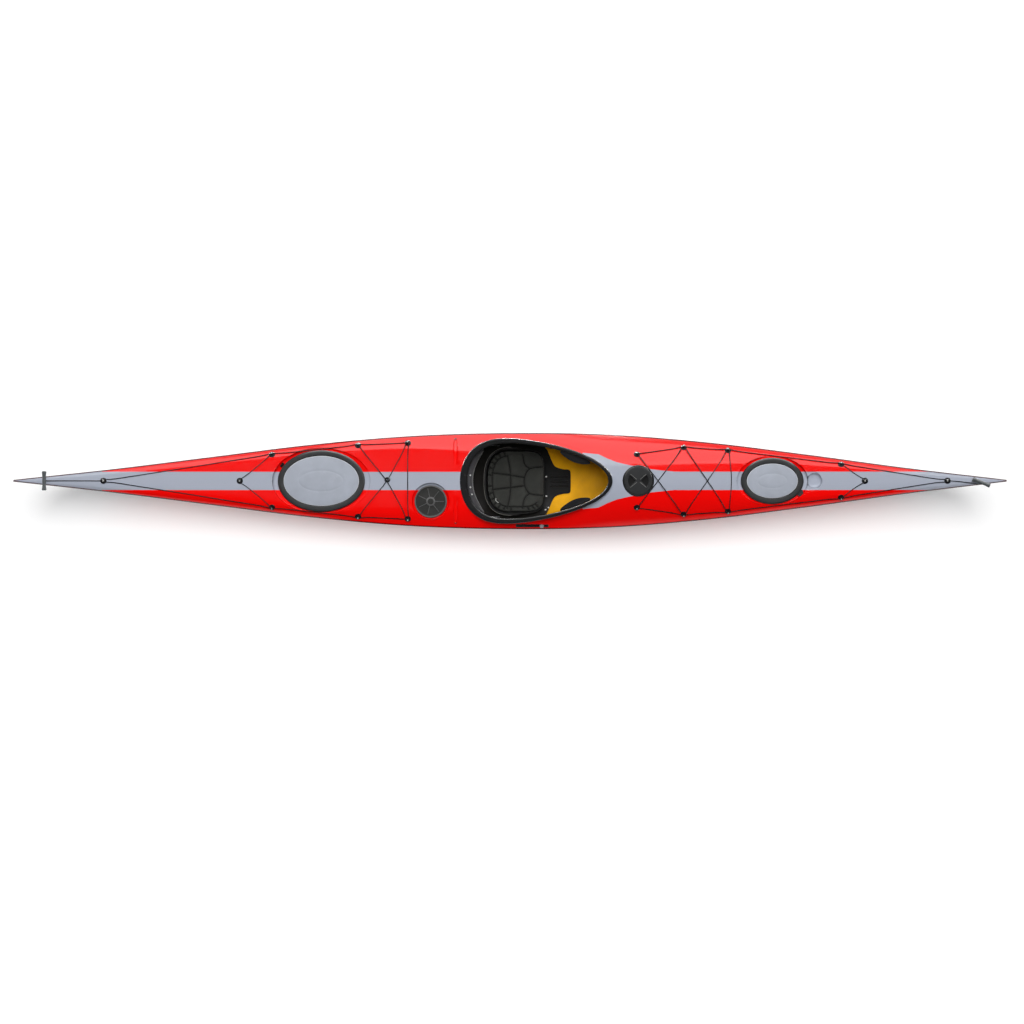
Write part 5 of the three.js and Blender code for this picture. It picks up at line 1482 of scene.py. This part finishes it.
class KAYAK_OT_toggles(bpy.types.Operator):
    """Makes the carry toggles with their cords"""
    bl_idname = "kayak.toggles"
    bl_label = "Carry toggles"

    def execute(self, context):
        grip = rubber("toggle_grip", (0.055, 0.062, 0.065), 0.5)
        cord = LOOKS["deck_cord"]
        for name, toggle, route in (("stern", STERN_TOGGLE, STERN_CORD), ("bow", BOW_TOGGLE, BOW_CORD)):
            bar = made(f"{name}_grip", self.bar(toggle), grip, 40.0)
            finish_piece(bar, f"{name}_toggle", [f"{name}_toggle"])
            points = self.finer(self.way(CENTRES[name], route))
            piece = cord_piece(f"{name}_loop", points, context.scene.kayak_cords.radius, cord)
            finish_piece(piece, f"{name}_toggle", [f"{name}_toggle_cord"])
        return {"FINISHED"}

    def way(self, x, route):
        """A toggle cord's way, from beside its fitting at X over the deck to the grip."""
        away = math.copysign(TOGGLE_CORD_START["away"], x)
        points = [on_deck(x + away, 0.0, TOGGLE_CORD_START["lift"])]
        for place, across, lift in route:
            spot = on_deck(place, 0.0, lift)
            points.append(Vector((spot.x, across, spot.z)))
        return points

    def finer(self, points):
        """Three more points between each two."""
        result = [points[0]]
        for near, far in zip(points, points[1:]):
            result += [near.lerp(far, share) for share in (0.25, 0.5, 0.75, 1.0)]
        return result

    def bar(self, toggle):
        """The grip: thick at its ends and grooved round its middle."""
        length, radius = toggle["length"], TOGGLE_RADIUS
        waist = radius - TOGGLE_WAIST
        profile = [
            (0.0, -length / 2), (waist, -length / 2), (radius, -length / 2 + 0.003), (waist, -length / 4)]
        profile += [(reach, -height) for reach, height in reversed(profile)]
        bm = spun(rounded(profile, 0.004, 4), steps=40)
        count, shrink = GRIP_GROOVES["count"], GRIP_GROOVES["shrink"]
        for i in range(count):
            height = (i - count // 2) * GRIP_GROOVES["pitch"]
            groove = [vert for vert in bm.verts if abs(vert.co.z - height) < GRIP_GROOVES["half"]]
            bmesh.ops.scale(bm, vec=(shrink, shrink, 1.0), verts=groove)
        laid = Matrix.Translation((0, toggle["y"], toggle["lift"]))
        laid = laid @ Matrix.Rotation(toggle["turn"], 4, "Z") @ Matrix.Rotation(math.pi / 2, 4, "X")
        bmesh.ops.transform(bm, matrix=deck_frame(toggle["x"], 0.0) @ laid, verts=bm.verts)
        return bm


# Seat, backrest and braces

SEAT = {"x": 0.01, "rear": 0.152, "front": 0.202, "half": 0.188, "rear_power": 2.6, "front_power": 5.0,
        "wall": 0.005, "rim": 0.104, "rim_width": 0.006, "taper": 0.03, "front_height": 0.058}
SEAT_SPAN = (-0.25, 0.42)
SLOPE_STEPS = 12
APRON = (
    (0.205, 0.182), (0.222, 0.146), (0.243, 0.098), (0.262, 0.079), (0.298, 0.0685), (0.327, 0.066),
    (0.3385, 0.056), (0.3405, 0.036),
)
APRON_REAR = (0.17, 0.182)
APRON_TOP = 0.07
APRON_WALL = 0.006
APRON_SPAN = (0.1, 0.42)
RIDGE_BAR = {"size": (0.103, 0.010, 0.016), "x": 0.2765, "pitch": 0.026, "z": 0.008, "bevel": 0.004}
# Radius of the pale cord along the pan's rim, a painted highlight
RIM_HIGHLIGHT_RADIUS = 0.0012
SCREWS = ((0.2045, 0.026), (0.2045, -0.082), (0.2, -0.158), (0.2165, -0.146))
HOOK = ((-0.075, -0.094), (-0.080, -0.104), (-0.075, -0.113), (-0.066, -0.112), (-0.061, -0.119))
HOOK_RADIUS = 0.0022
HOOK_LIFT = 0.0015
PAD_INSET = 0.022
PAD_FLARE = 0.0035
PAD_ROOM = 0.0012
PAD_SWELL = 0.004
PAD_EDGE = 0.067
PAD_HOLLOW = 0.021
PAD_SHARES = (0.97, 0.9, 0.8, 0.7, 0.6, 0.45, 0.3, 0.15, 0.04)
BORDER = 0.024
BORDER_TURNS = (0.53, 1.24)
BORDER_STEPS = 64
TICK = (0.15, 1.0)
SEAM = {"step": 0.001, "depth": 0.009, "width": 0.0042, "puff": 0.0035, "puff_reach": 0.016, "dark": 0.0034}
CHANNELS = (
    ((-0.098, 0.047), (0.0, 0.034), (0.084, 0.020)),
    ((-0.098, -0.048), (0.0, -0.036), (0.084, -0.026)),
    ((-0.011, 0.142), (0.005, 0.050), (0.005, -0.060), (-0.011, -0.150)),
    ((0.072, 0.150), (0.084, 0.096), (0.110, 0.070)),
    ((0.072, -0.150), (0.084, -0.096), (0.110, -0.070)),
    ((0.182, 0.080), (0.108, 0.066), (0.082, 0.0), (0.108, -0.066), (0.182, -0.080)),
)
PIVOT = (-0.06, 0.092)
BACKREST = {"x": 0.03, "radius": 0.254, "thickness": 0.026, "bottom": 0.12, "top": 0.246, "half": 0.8,
            "drop": 0.044, "crown": 0.011, "swell": 0.0025, "depth_power": 0.62, "height_power": 0.3}
BACKREST_STEPS = 72
BACKREST_SIDES = 40
RIVET_TURNS = (0.127, -0.142, -0.302)
RIVET = {"radius": 0.0046, "inset": 0.007, "drop": 0.0018, "flatten": 0.7}
SPINE = {"bottom": 0.132, "height": 0.056, "thickness": 0.003, "room": 0.0005}
ARM_PLACE = 0.1946
ARM = 0.004
EYE_RADIUS = 0.005
EYE_STEPS = 12


def seat_point(turn, inset):
    """A place in plan on the seat's rounded outline, drawn in by an inset."""
    cos, sin = math.cos(turn), math.sin(turn)
    power = SEAT["front_power"] if cos >= 0 else SEAT["rear_power"]
    reach = SEAT["front"] if cos >= 0 else SEAT["rear"]
    bend_x = math.copysign(abs(cos) ** (2 / power), cos)
    bend_y = math.copysign(abs(sin) ** (2 / power), sin)
    return SEAT["x"] + (reach - inset) * bend_x, (SEAT["half"] - inset) * bend_y


def seat_ovals(rows, sides=128):
    """A body through the seat's outlines, by inset, height and share of the way out from its middle."""
    outlines = []
    for inset, z, share in rows:
        places = [seat_point(2 * math.pi * i / sides, inset) for i in range(sides)]
        outlines.append([(SEAT["x"] + (x - SEAT["x"]) * share, y * share, z) for x, y in places])
    return lofted(outlines)


def inner_outline(x, inset):
    """The hull's section, drawn in by a thickness."""
    points = hull_outline(x)
    middle = len(points) // 2
    port = [Vector((y, z)) for _, y, z in points[middle:]]
    result = []
    for i, point in enumerate(port):
        before, after = port[max(i - 1, 0)], port[min(i + 1, len(port) - 1)]
        run = (after - before).normalized()
        result.append(point + Vector((-run.y, run.x)) * inset)
    result[0].y = port[0].y + inset
    result.append(Vector((result[-1].x, SKY)))
    right = [(x, -point.x, point.y) for point in reversed(result)]
    return right + [(x, point.x, point.y) for point in result]


def hull_room(inset, rear, front, count=14):
    """The space inside the hull between two places along it, drawn in by an inset."""
    return lofted([inner_outline(rear + (front - rear) * i / count, inset) for i in range(count + 1)])


def fitted(obj, inset, span):
    """Cuts a piece back to the space inside the hull."""
    return carve(obj, hull_room(inset, *span), operation="INTERSECT")


def upright(points, bottom, top):
    """A plate drawn in plan, between two heights."""
    return lofted([[(x, y, z) for x, y in points] for z in (bottom, top)])


def crosswise(points, low, high):
    """A plate drawn in X and Z, between two places across."""
    return lofted([[(x, y, z) for x, z in points] for y in (low, high)])


def eased(share):
    """A share that starts and ends gently."""
    return 3 * share ** 2 - 2 * share ** 3


class KAYAK_OT_seat(bpy.types.Operator):
    """Makes the seat pan with its apron and ridges, and the sewn seat pad"""
    bl_idname = "kayak.seat"
    bl_label = "Seat"

    def execute(self, context):
        black = moulded(
            "seat_plastic", (0.012, 0.012, 0.012), rough=0.3, grain=800.0, depth=0.0002,
            wear=(0.03, 0.03, 0.03), shine=0.18)
        pan = self.pan(black)
        finish_piece(pan, "hull", ["seat_pan"])
        # The pad's fabric, with painted shade in its sewn channels
        cloth = woven("seat_fabric", (0.030, 0.031, 0.028), sheen=0.15, seam_shade=True)
        pad = self.pad(cloth)
        finish_piece(pad, "hull", ["seat_pad"])
        # A thin pale cord along the pan's rim: a painted highlight on its edge
        turns = [math.pi * (0.5 + i / 90) for i in range(91)]
        way = [Vector((*seat_point(turn, 0.0), SEAT["rim"] + CORD_GAP)) for turn in turns]
        trim = cord_piece("seat_rim_highlight", way, RIM_HIGHLIGHT_RADIUS, moulded("rim_highlight_plastic", (0.15, 0.145, 0.13), 0.5))
        finish_piece(trim, "hull")
        steel = metal("rivet_steel", (0.9, 0.9, 0.88), 0.25, 0.3)
        screws = merged(*(self.screw(self.surface(pan, x, y)) for x, y in SCREWS))
        finish_piece(made("seat_screws", screws, steel), "hull")
        way = [self.surface(pad, x, y) + Vector((0, 0, HOOK_LIFT)) for x, y in HOOK]
        hook = cord_piece("seat_hook", way, HOOK_RADIUS, moulded("hook_plastic", (0.4, 0.4, 0.38), 0.3))
        finish_piece(hook, "hull")
        return {"FINISHED"}

    def surface(self, obj, x, y):
        """The top of a piece at a place in plan."""
        hit, place, _, _ = obj.ray_cast(Vector((x, y, SKY)), Vector((0, 0, -1)))
        if not hit:
            raise ValueError(f"{obj.name} has nothing at {x}, {y}")
        return place

    def screw(self, place):
        return spun([(0.0, 0.0022), (0.0032, 0.0017), (0.0052, -0.0004), (0.0, -0.0004)], place, 24)

    def pan(self, material):
        """The tub, cut down along a slope to its front, with the apron and three ridges ahead of it."""
        wall, rim, taper = SEAT["wall"], SEAT["rim"], SEAT["taper"]
        lip = -SEAT["rim_width"] + wall
        outside = seat_ovals([
            (taper, 0.0, 1), (taper / 2, rim / 2, 1), (wall, rim - wall, 1), (lip, rim - wall, 1),
            (lip, rim - 0.0015, 1), (lip + 0.0015, rim, 1)])
        over = rim + 0.03
        inside = seat_ovals([
            (taper + wall, 0.0, 1), (taper / 2 + wall, rim / 2, 1), (2 * wall, rim - wall, 1),
            (2 * wall, over, 1)])
        floor = sizes().wall + 0.0005
        pan = fitted(made("seat_pan_piece", outside, material), floor, SEAT_SPAN)
        carve(pan, mesh_of(fitted(made("hollow", inside, material), floor + wall, SEAT_SPAN)))
        carve(pan, self.slope(rim, over))
        side = [tuple(place) for place in smooth_line(APRON)]
        x, y = APRON_REAR
        plan = [(x, y), *side, *[(x, -y) for x, y in reversed(side)], (x, -y)]
        apron = fitted(made("apron", upright(plan, 0.0, APRON_TOP), material), floor, APRON_SPAN)
        carve(apron, hull_room(floor + APRON_WALL, *APRON_SPAN))
        carve(apron, seat_ovals([(taper, 0.0, 1), (taper / 2, rim / 2, 1), (wall, rim, 1)]))
        join(pan, apron)
        for i in (-1, 0, 1):
            place = (RIDGE_BAR["x"], i * RIDGE_BAR["pitch"], RIDGE_BAR["z"])
            bar = block(RIDGE_BAR["size"], place, RIDGE_BAR["bevel"], 4)
            join(pan, fitted(made("ridge", bar, material), floor, APRON_SPAN))
        return bevelled(pan, 0.0012)

    def slope(self, rim, over):
        """The body that cuts the tub's walls down towards the front."""
        low = SEAT["front_height"]
        front = SEAT["x"] + SEAT["front"]
        points = []
        for i in range(SLOPE_STEPS + 1):
            x = SEAT["x"] + (front - SEAT["x"]) * i / SLOPE_STEPS
            points.append((x, rim - (rim - low) * eased(i / SLOPE_STEPS)))
        past = front + 0.03
        return crosswise([*points, (past, low), (past, over), (SEAT["x"], over)], -0.3, 0.3)

    def pad(self, material):
        """A low cushion that swells in the tub, then gets its sewn channels."""
        brim = PAD_INSET - PAD_FLARE
        rows = [(PAD_INSET + SEAT["taper"] / 2, 0.0, 1), (PAD_INSET, SEAT["rim"] / 2, 1),
                (brim, PAD_EDGE - 0.004, 1), (brim + 0.0015, PAD_EDGE - 0.0005, 1)]
        rows += [(brim, pad_height(share), share) for share in PAD_SHARES]
        pad = made("seat_cushion", seat_ovals(rows), material)
        fitted(pad, sizes().wall + SEAT["wall"] + PAD_ROOM + PAD_SWELL, SEAT_SPAN)
        modify(pad, "REMESH", mode="VOXEL", voxel_size=0.0045, use_smooth_shade=True)
        applied(pad, 80.0)
        return channelled(swollen(pad, PAD_SWELL), self.channels())

    def channels(self):
        """The sewn lines: those across the panels, the border at the rear and the ticks across it."""
        lines = [smooth_line(line) for line in CHANNELS]
        first, sweep = BORDER_TURNS
        turns = [math.pi * (first + sweep * i / BORDER_STEPS) for i in range(BORDER_STEPS + 1)]
        lines.append([Vector(seat_point(turn, PAD_INSET + BORDER)) for turn in turns])
        for turn in turns[2:-1:4]:
            lines.append([Vector(seat_point(turn, PAD_INSET + part * BORDER)) for part in TICK])
        return lines


def pad_height(share):
    """The pad's top before it swells, lower towards its middle."""
    return PAD_EDGE - PAD_HOLLOW * (1 - min(share / 0.9, 1) ** 2)


def smooth_line(places, steps=8):
    """A Catmull-Rom line through places in plan."""
    points = [Vector(place) for place in places]
    around = [2 * points[0] - points[1], *points, 2 * points[-1] - points[-2]]
    line = []
    for a, b, c, d in zip(around, around[1:], around[2:], around[3:]):
        for i in range(steps):
            t = i / steps
            line.append(0.5 * (2 * b + (c - a) * t + (2 * a - 5 * b + 4 * c - d) * t * t
                               + (3 * b - a - 3 * c + d) * t ** 3))
    return [*line, points[-1]]


def channelled(pad, lines):
    """Presses sewn lines into the top of a pad, puffs it between them and keeps, per point, the painted shade
    along the lines.
    """
    spots = []
    for line in lines:
        for start, end in zip(line, line[1:]):
            count = max(math.ceil((end - start).length / SEAM["step"]), 1)
            spots += [start.lerp(end, i / count) for i in range(count + 1)]
    tree = kdtree.KDTree(len(spots))
    for i, spot in enumerate(spots):
        tree.insert((*spot, 0.0), i)
    tree.balance()
    seam_shade = []
    upward = [vert.normal.z for vert in pad.data.vertices]
    for vert, rise in zip(pad.data.vertices, upward):
        reach = tree.find((vert.co.x, vert.co.y, 0.0))[2]
        up = min(max(rise - 0.3, 0.0) * 3, 1.0)
        raised = SEAM["puff"] * (1 - math.exp(-(reach / SEAM["puff_reach"]) ** 2))
        pressed = SEAM["depth"] * math.exp(-(reach / SEAM["width"]) ** 2)
        vert.co.z += up * (raised - pressed)
        # How much painted shade each point gets in the channels
        seam_shade.append(up * math.exp(-(reach / SEAM["dark"]) ** 2))
    mark = pad.data.attributes.new("seam", "FLOAT", "POINT")
    mark.data.foreach_set("value", seam_shade)
    smooth(pad.data, 80)
    return pad


def mesh_of(obj):
    """An object's mesh as a bmesh, with the object taken away."""
    bm = bmesh.new()
    bm.from_mesh(obj.data)
    bpy.data.objects.remove(obj)
    return bm


def backrest_point(turn, radius, z):
    """A place on an upright cylinder round the backrest's middle, turned from its rear."""
    return (BACKREST["x"] - radius * math.cos(turn), radius * math.sin(turn), z)


class KAYAK_OT_backrest(bpy.types.Operator):
    """Makes the padded backrest, its rivets and the frame that carries it"""
    bl_idname = "kayak.backrest"
    bl_label = "Backrest"

    def execute(self, context):
        foam = woven("seat_foam", (0.060, 0.059, 0.064), 0.0012, 0.3)
        pad = self.pad(foam)
        finish_piece(pad, "backrest", ["backrest_pad"])
        plastic = moulded("backrest_plastic", (0.10, 0.10, 0.105), rough=0.35, grain=800.0, depth=0.0001)
        frame_piece = self.frame_band(plastic)
        finish_piece(frame_piece, "backrest", ["backrest_frame"])
        rivets = self.rivets(LOOKS["rivet_steel"])
        finish_piece(rivets, "backrest")
        return {"FINISHED"}

    def pad(self, material):
        """A curved band with rounded edges, lower and thinner towards its ends."""
        outlines = []
        for i in range(BACKREST_STEPS + 1):
            share = 2 * i / BACKREST_STEPS - 1
            drawn = 1 - 0.35 * abs(share) ** 6 - 0.5 * max(abs(share) - 0.97, 0) / 0.03
            top = BACKREST["top"] - BACKREST["drop"] * share ** 2
            half = ((top - BACKREST["bottom"]) / 2 - BACKREST["swell"]) * drawn
            middle = (top + BACKREST["bottom"]) / 2
            depth = (BACKREST["thickness"] / 2 - BACKREST["swell"]) * drawn
            ring = []
            for k in range(BACKREST_SIDES):
                turn = 2 * math.pi * k / BACKREST_SIDES
                cos, sin = math.cos(turn), math.sin(turn)
                out = depth * math.copysign(abs(cos) ** BACKREST["depth_power"], cos)
                up = half * math.copysign(abs(sin) ** BACKREST["height_power"], sin)
                crown = BACKREST["crown"] * (1 - (up / half) ** 2) if out < 0 else 0.0
                radius = BACKREST["radius"] + out - crown
                ring.append(backrest_point(BACKREST["half"] * share, radius, middle + up))
            outlines.append(ring)
        pad = made("backrest_cushion", lofted(outlines), material, 70.0)
        modify(pad, "REMESH", mode="VOXEL", voxel_size=0.004, use_smooth_shade=True)
        return swollen(applied(pad, 80.0), BACKREST["swell"])

    def frame_band(self, material):
        """A band behind the pad, and an arm at each end that runs forward to its pivot."""
        near = BACKREST["radius"] + BACKREST["thickness"] / 2 + SPINE["room"]
        far = near + SPINE["thickness"]
        reach = math.asin((ARM_PLACE + ARM / 2) / (near + SPINE["thickness"] / 2))
        low, high = SPINE["bottom"], SPINE["bottom"] + SPINE["height"]
        section = [(near, low), (far, low), (far, high), (near, high)]
        turns = [reach * (2 * i / BACKREST_STEPS - 1) for i in range(BACKREST_STEPS + 1)]
        outlines = [[backrest_point(turn, radius, z) for radius, z in section] for turn in turns]
        band = made("backrest_band", lofted(outlines), material)
        rear = BACKREST["x"] - near * math.cos(reach) - SPINE["thickness"]
        x, z = PIVOT
        outline = [(rear, high), (rear, low), (x - 0.004, z - 0.003)]
        for i in range(EYE_STEPS + 1):
            turn = math.pi * (-0.5 + i / EYE_STEPS)
            outline.append((x + EYE_RADIUS * math.cos(turn), z + EYE_RADIUS * math.sin(turn)))
        for inner in (-ARM_PLACE - ARM, ARM_PLACE):
            join(band, made("arm", crosswise(outline, inner, inner + ARM), material))
        return bevelled(band, 0.0006, 2)

    def rivets(self, material):
        parts = []
        for turn in RIVET_TURNS:
            bm = bmesh.new()
            bmesh.ops.create_uvsphere(bm, u_segments=20, v_segments=10, radius=RIVET["radius"])
            top = BACKREST["top"] - BACKREST["drop"] * (turn / BACKREST["half"]) ** 2
            place = backrest_point(turn, BACKREST["radius"] - RIVET["inset"], top - RIVET["drop"])
            matrix = Matrix.Translation(place) @ Matrix.Diagonal((1, 1, RIVET["flatten"], 1))
            bmesh.ops.transform(bm, matrix=matrix, verts=bm.verts)
            parts.append(bm)
        return made("backrest_rivets", merged(*parts), material)


BRACE = {"rear": 0.277, "front": 0.441, "root": 0.012, "reach": 0.030, "gap": 0.004, "drop": 0.026,
         "thickness": 0.008, "trim": 0.0043}
BRACE_STEPS = 32


class KAYAK_OT_braces(bpy.types.Operator):
    """Makes the thigh braces and repaints the bulkheads"""
    bl_idname = "kayak.braces"
    bl_label = "Braces and bulkheads"

    def execute(self, context):
        black = LOOKS["black_gelcoat"]
        for name, side in (("port", 1), ("starboard", -1)):
            brace = self.brace(f"{name}_brace", side, black)
            finish_piece(brace, "hull", [f"{name}_thigh_brace"])
        laminate_grey = laminate("bulkhead_laminate", (0.35, 0.33, 0.29), 0.004, 0.5)
        for node in ("rear_bulkhead", "middle_bulkhead", "front_bulkhead"):
            repaint(node, laminate_grey)
        return {"FINISHED"}

    def brace(self, name, side, material):
        """A plate under the coaming, bowed out towards the cockpit's middle."""
        rear, front = BRACE["rear"], BRACE["front"]
        edge = []
        for i in range(BRACE_STEPS + 1):
            share = i / BRACE_STEPS
            x = rear + (front - rear) * share
            length = COAMING["front"] - COAMING["front_rim"] - BRACE["gap"]
            cos = (x / length) ** (COAMING["front_power"] / 2)
            riser = (COAMING["half"] - COAMING["front_rim"] - BRACE["gap"]) * math.sqrt(1 - cos ** 2)
            bow = BRACE["reach"] * math.sin(math.pi * share) ** 0.8
            edge.append((x, side * (riser - BRACE["root"] - bow)))
        outer = [(front, side * BEAM / 2), (rear, side * BEAM / 2)]
        top = coaming_top((rear + front) / 2) - BRACE["drop"]
        brace = made(name, upright([*edge, *outer], top - BRACE["thickness"], top), material)
        carve(brace, cockpit_cutter(BRACE["trim"]), operation="INTERSECT")
        return bevelled(brace, 0.0025, 4)


class KAYAK_OT_footrests(bpy.types.Operator):
    """Gives the footrest rails and pedals their rounded edges and materials"""
    bl_idname = "kayak.footrests"
    bl_label = "Footrests"

    def execute(self, context):
        alloy = metal("rail_alloy", (0.62, 0.63, 0.65))
        nylon = LOOKS["fitting_nylon"]
        for side in ("port", "starboard"):
            rail = rounded_copy(f"{side}_footrest_rail", alloy, 0.002)
            finish_piece(rail, "hull", [f"{side}_footrest_rail"])
            pedal = rounded_copy(f"{side}_foot_pedal", nylon, 0.003)
            finish_piece(pedal, f"{side}_foot_pedal", [f"{side}_foot_pedal"])
        return {"FINISHED"}


def rounded_copy(node, material, width):
    """A copy of a CAD node with its edges rounded."""
    return bevelled(made(f"{node}_piece", copied(node), material), width, angle=38.0, sharp=35.0)


class KAYAK_OT_skeg(bpy.types.Operator):
    """Makes the skeg blade, its box, cable, track and slider"""
    bl_idname = "kayak.skeg"
    bl_label = "Skeg"

    def execute(self, context):
        nylon = LOOKS["fitting_nylon"]
        box = rounded_copy("skeg_box", LOOKS["amber_laminate"], 0.001)
        finish_piece(box, "hull", ["skeg_box"])
        blade = rounded_copy("skeg_blade", nylon, 0.0018)
        finish_piece(blade, "skeg", ["skeg_blade"])
        track = rounded_copy("skeg_track", LOOKS["rim_plastic"], 0.0008)
        finish_piece(track, "hull", ["skeg_track"])
        # Pale grey slider: a painted highlight for the light mark seen on it
        pale = moulded("slider_highlight_plastic", (0.32, 0.33, 0.34), 0.3, 700.0, 0.0001)
        slider = rounded_copy("skeg_slider", pale, 0.0008)
        finish_piece(slider, "skeg_slider", ["skeg_slider"])
        repaint("skeg_cable", LOOKS["deck_cord"])
        return {"FINISHED"}


# Stage

# Each light's place and size. The far ones stand ahead and astern
SIDE_LIGHT = ((0.0, 3.92, 3.3), (11.0, 4.53))
STRIP_LIGHT = ((0.15, 4.5, 0.3), (1.3, 0.56))
FAR_LIGHT = ((18.0, 18.0, 1.1), (24.0, 2.05))
LIGHT_TARGET = (0.0, 0.0, 0.2)
CAMERA_PLACE = (0.0137, -0.170)
CAMERA_LENS = 100.0
FLOOR_SIZE = 40.0
EYE_LEVEL = (0.05, 0.3)


def aimed(obj, target):
    """Turns an object's -Z towards a point, with its X level."""
    direction = Vector(target) - obj.location
    obj.rotation_euler = direction.to_track_quat("-Z", "Y").to_euler()
    return obj


class KAYAK_OT_stage(bpy.types.Operator):
    """Sets the floor, the lights and the camera"""
    bl_idname = "kayak.stage"
    bl_label = "Stage"

    def execute(self, context):
        scene = context.scene
        sheet = scene.kayak_stage
        self.floor(sheet.floor_glow)
        self.world(scene, sheet.world)
        self.key(sheet)
        self.reflected("side", *SIDE_LIGHT, sheet.side_glow)
        self.reflected("strip", *STRIP_LIGHT, sheet.strip_glow)
        (x, y, z), size = FAR_LIGHT
        self.reflected("ahead", (x, y, z), size, sheet.far_glow)
        self.reflected("astern", (-x, y, z), size, sheet.far_glow)
        camera = bpy.data.objects.new("camera", bpy.data.cameras.new("camera"))
        scene.collection.objects.link(camera)
        camera.data.lens = CAMERA_LENS
        camera.data.sensor_width = 36.0
        camera.location = (*CAMERA_PLACE, sheet.camera_height)
        camera.data.clip_end = 100.0
        scene.camera = camera
        scene.view_settings.view_transform = "Standard"
        return {"FINISHED"}

    def floor(self, glow):
        """A white floor, part of whose brightness is its own."""
        paint = Paint("floor", Base_Color=(0.75, 0.75, 0.75), Roughness=0.9, Specular_IOR_Level=0.0)
        paint.set(Emission_Color=(1.0, 1.0, 1.0), Emission_Strength=self.seen(paint) * glow)
        bm = bmesh.new()
        bmesh.ops.create_grid(bm, x_segments=1, y_segments=1, size=FLOOR_SIZE)
        made("floor", bm, paint.material)

    def seen(self, paint):
        """1 for rays from the camera, and for those that metal and polished pieces send."""
        path = paint.node("ShaderNodeLightPath").socket.node
        camera, glossy, through = (
            Value(paint, path.outputs[f"Is {kind} Ray"]) for kind in ("Camera", "Glossy", "Transmission"))
        return camera.most(glossy).most(through)

    def world(self, scene, strength):
        """White at the level of the eye, and dim overhead, where the studio has no ceiling light."""
        world = bpy.data.worlds.new("studio")
        world.use_nodes = True
        paint = Paint.__new__(Paint)
        paint.nodes, paint.links = world.node_tree.nodes, world.node_tree.links
        place = paint.node("ShaderNodeTexCoord", output="Generated")
        split = paint.node("ShaderNodeSeparateXYZ", None, {0: place})
        low = 1 - Value(paint, split.socket.node.outputs[2]).smooth(*EYE_LEVEL)
        shown = self.seen(paint) * low
        back = paint.nodes["Background"]
        back.inputs["Color"].default_value = (1.0, 1.0, 1.0, 1.0)
        paint.feed(back.inputs["Strength"], shown * (1 - strength) + strength)
        scene.world = world

    def key(self, sheet):
        """The overhead light, which no reflection shows."""
        data = bpy.data.lights.new("key", "SUN")
        data.energy = sheet.key_strength
        data.angle = sheet.key_size
        light = bpy.data.objects.new("key", data)
        bpy.context.scene.collection.objects.link(light)
        light.rotation_euler = (-sheet.key_tilt, 0.0, 0.0)
        light.visible_glossy = False

    def reflected(self, name, place, size, glow):
        """A light that only polished surfaces show, with an even brightness over its face."""
        data = bpy.data.lights.new(name, "AREA")
        data.shape = "RECTANGLE"
        data.size, data.size_y = size
        data.energy = glow * math.pi * size[0] * size[1]
        light = bpy.data.objects.new(name, data)
        light.location = place
        bpy.context.scene.collection.objects.link(light)
        aimed(light, LIGHT_TARGET)
        light.visible_diffuse = False
        light.visible_camera = False


# Add-on

SHEETS = {
    "kayak_hull": HullSizes, "kayak_colours": HullColours, "kayak_hatches": HatchSizes,
    "kayak_cords": CordSizes, "kayak_stage": StageSettings,
}
OPERATORS = (
    KAYAK_OT_hull, KAYAK_OT_deck, KAYAK_OT_coaming, KAYAK_OT_hatches, KAYAK_OT_day_hatch,
    KAYAK_OT_screw_hatch, KAYAK_OT_fittings, KAYAK_OT_cords, KAYAK_OT_toggles, KAYAK_OT_seat,
    KAYAK_OT_backrest, KAYAK_OT_braces, KAYAK_OT_footrests, KAYAK_OT_skeg, KAYAK_OT_stage,
)


class KAYAK_PT_panel(bpy.types.Panel):
    bl_label = "Sea kayak"
    bl_idname = "KAYAK_PT_panel"
    bl_space_type = "VIEW_3D"
    bl_region_type = "UI"
    bl_category = "Kayak"

    def draw(self, context):
        for sheet in SHEETS:
            box = self.layout.box()
            settings = getattr(context.scene, sheet)
            for name in settings.bl_rna.properties.keys():
                if name not in ("rna_type", "name"):
                    box.prop(settings, name)
        for operator in OPERATORS:
            self.layout.operator(operator.bl_idname)


CLASSES = (*SHEETS.values(), *OPERATORS, KAYAK_PT_panel)


def register():
    for cls in CLASSES:
        bpy.utils.register_class(cls)
    for name, cls in SHEETS.items():
        setattr(bpy.types.Scene, name, bpy.props.PointerProperty(type=cls))


def unregister():
    for name in SHEETS:
        delattr(bpy.types.Scene, name)
    for cls in reversed(CLASSES):
        bpy.utils.unregister_class(cls)


def main():
    register()
    for operator in OPERATORS:
        group, name = operator.bl_idname.split(".")
        getattr(getattr(bpy.ops, group), name)()


if __name__ == "__main__":
    main()
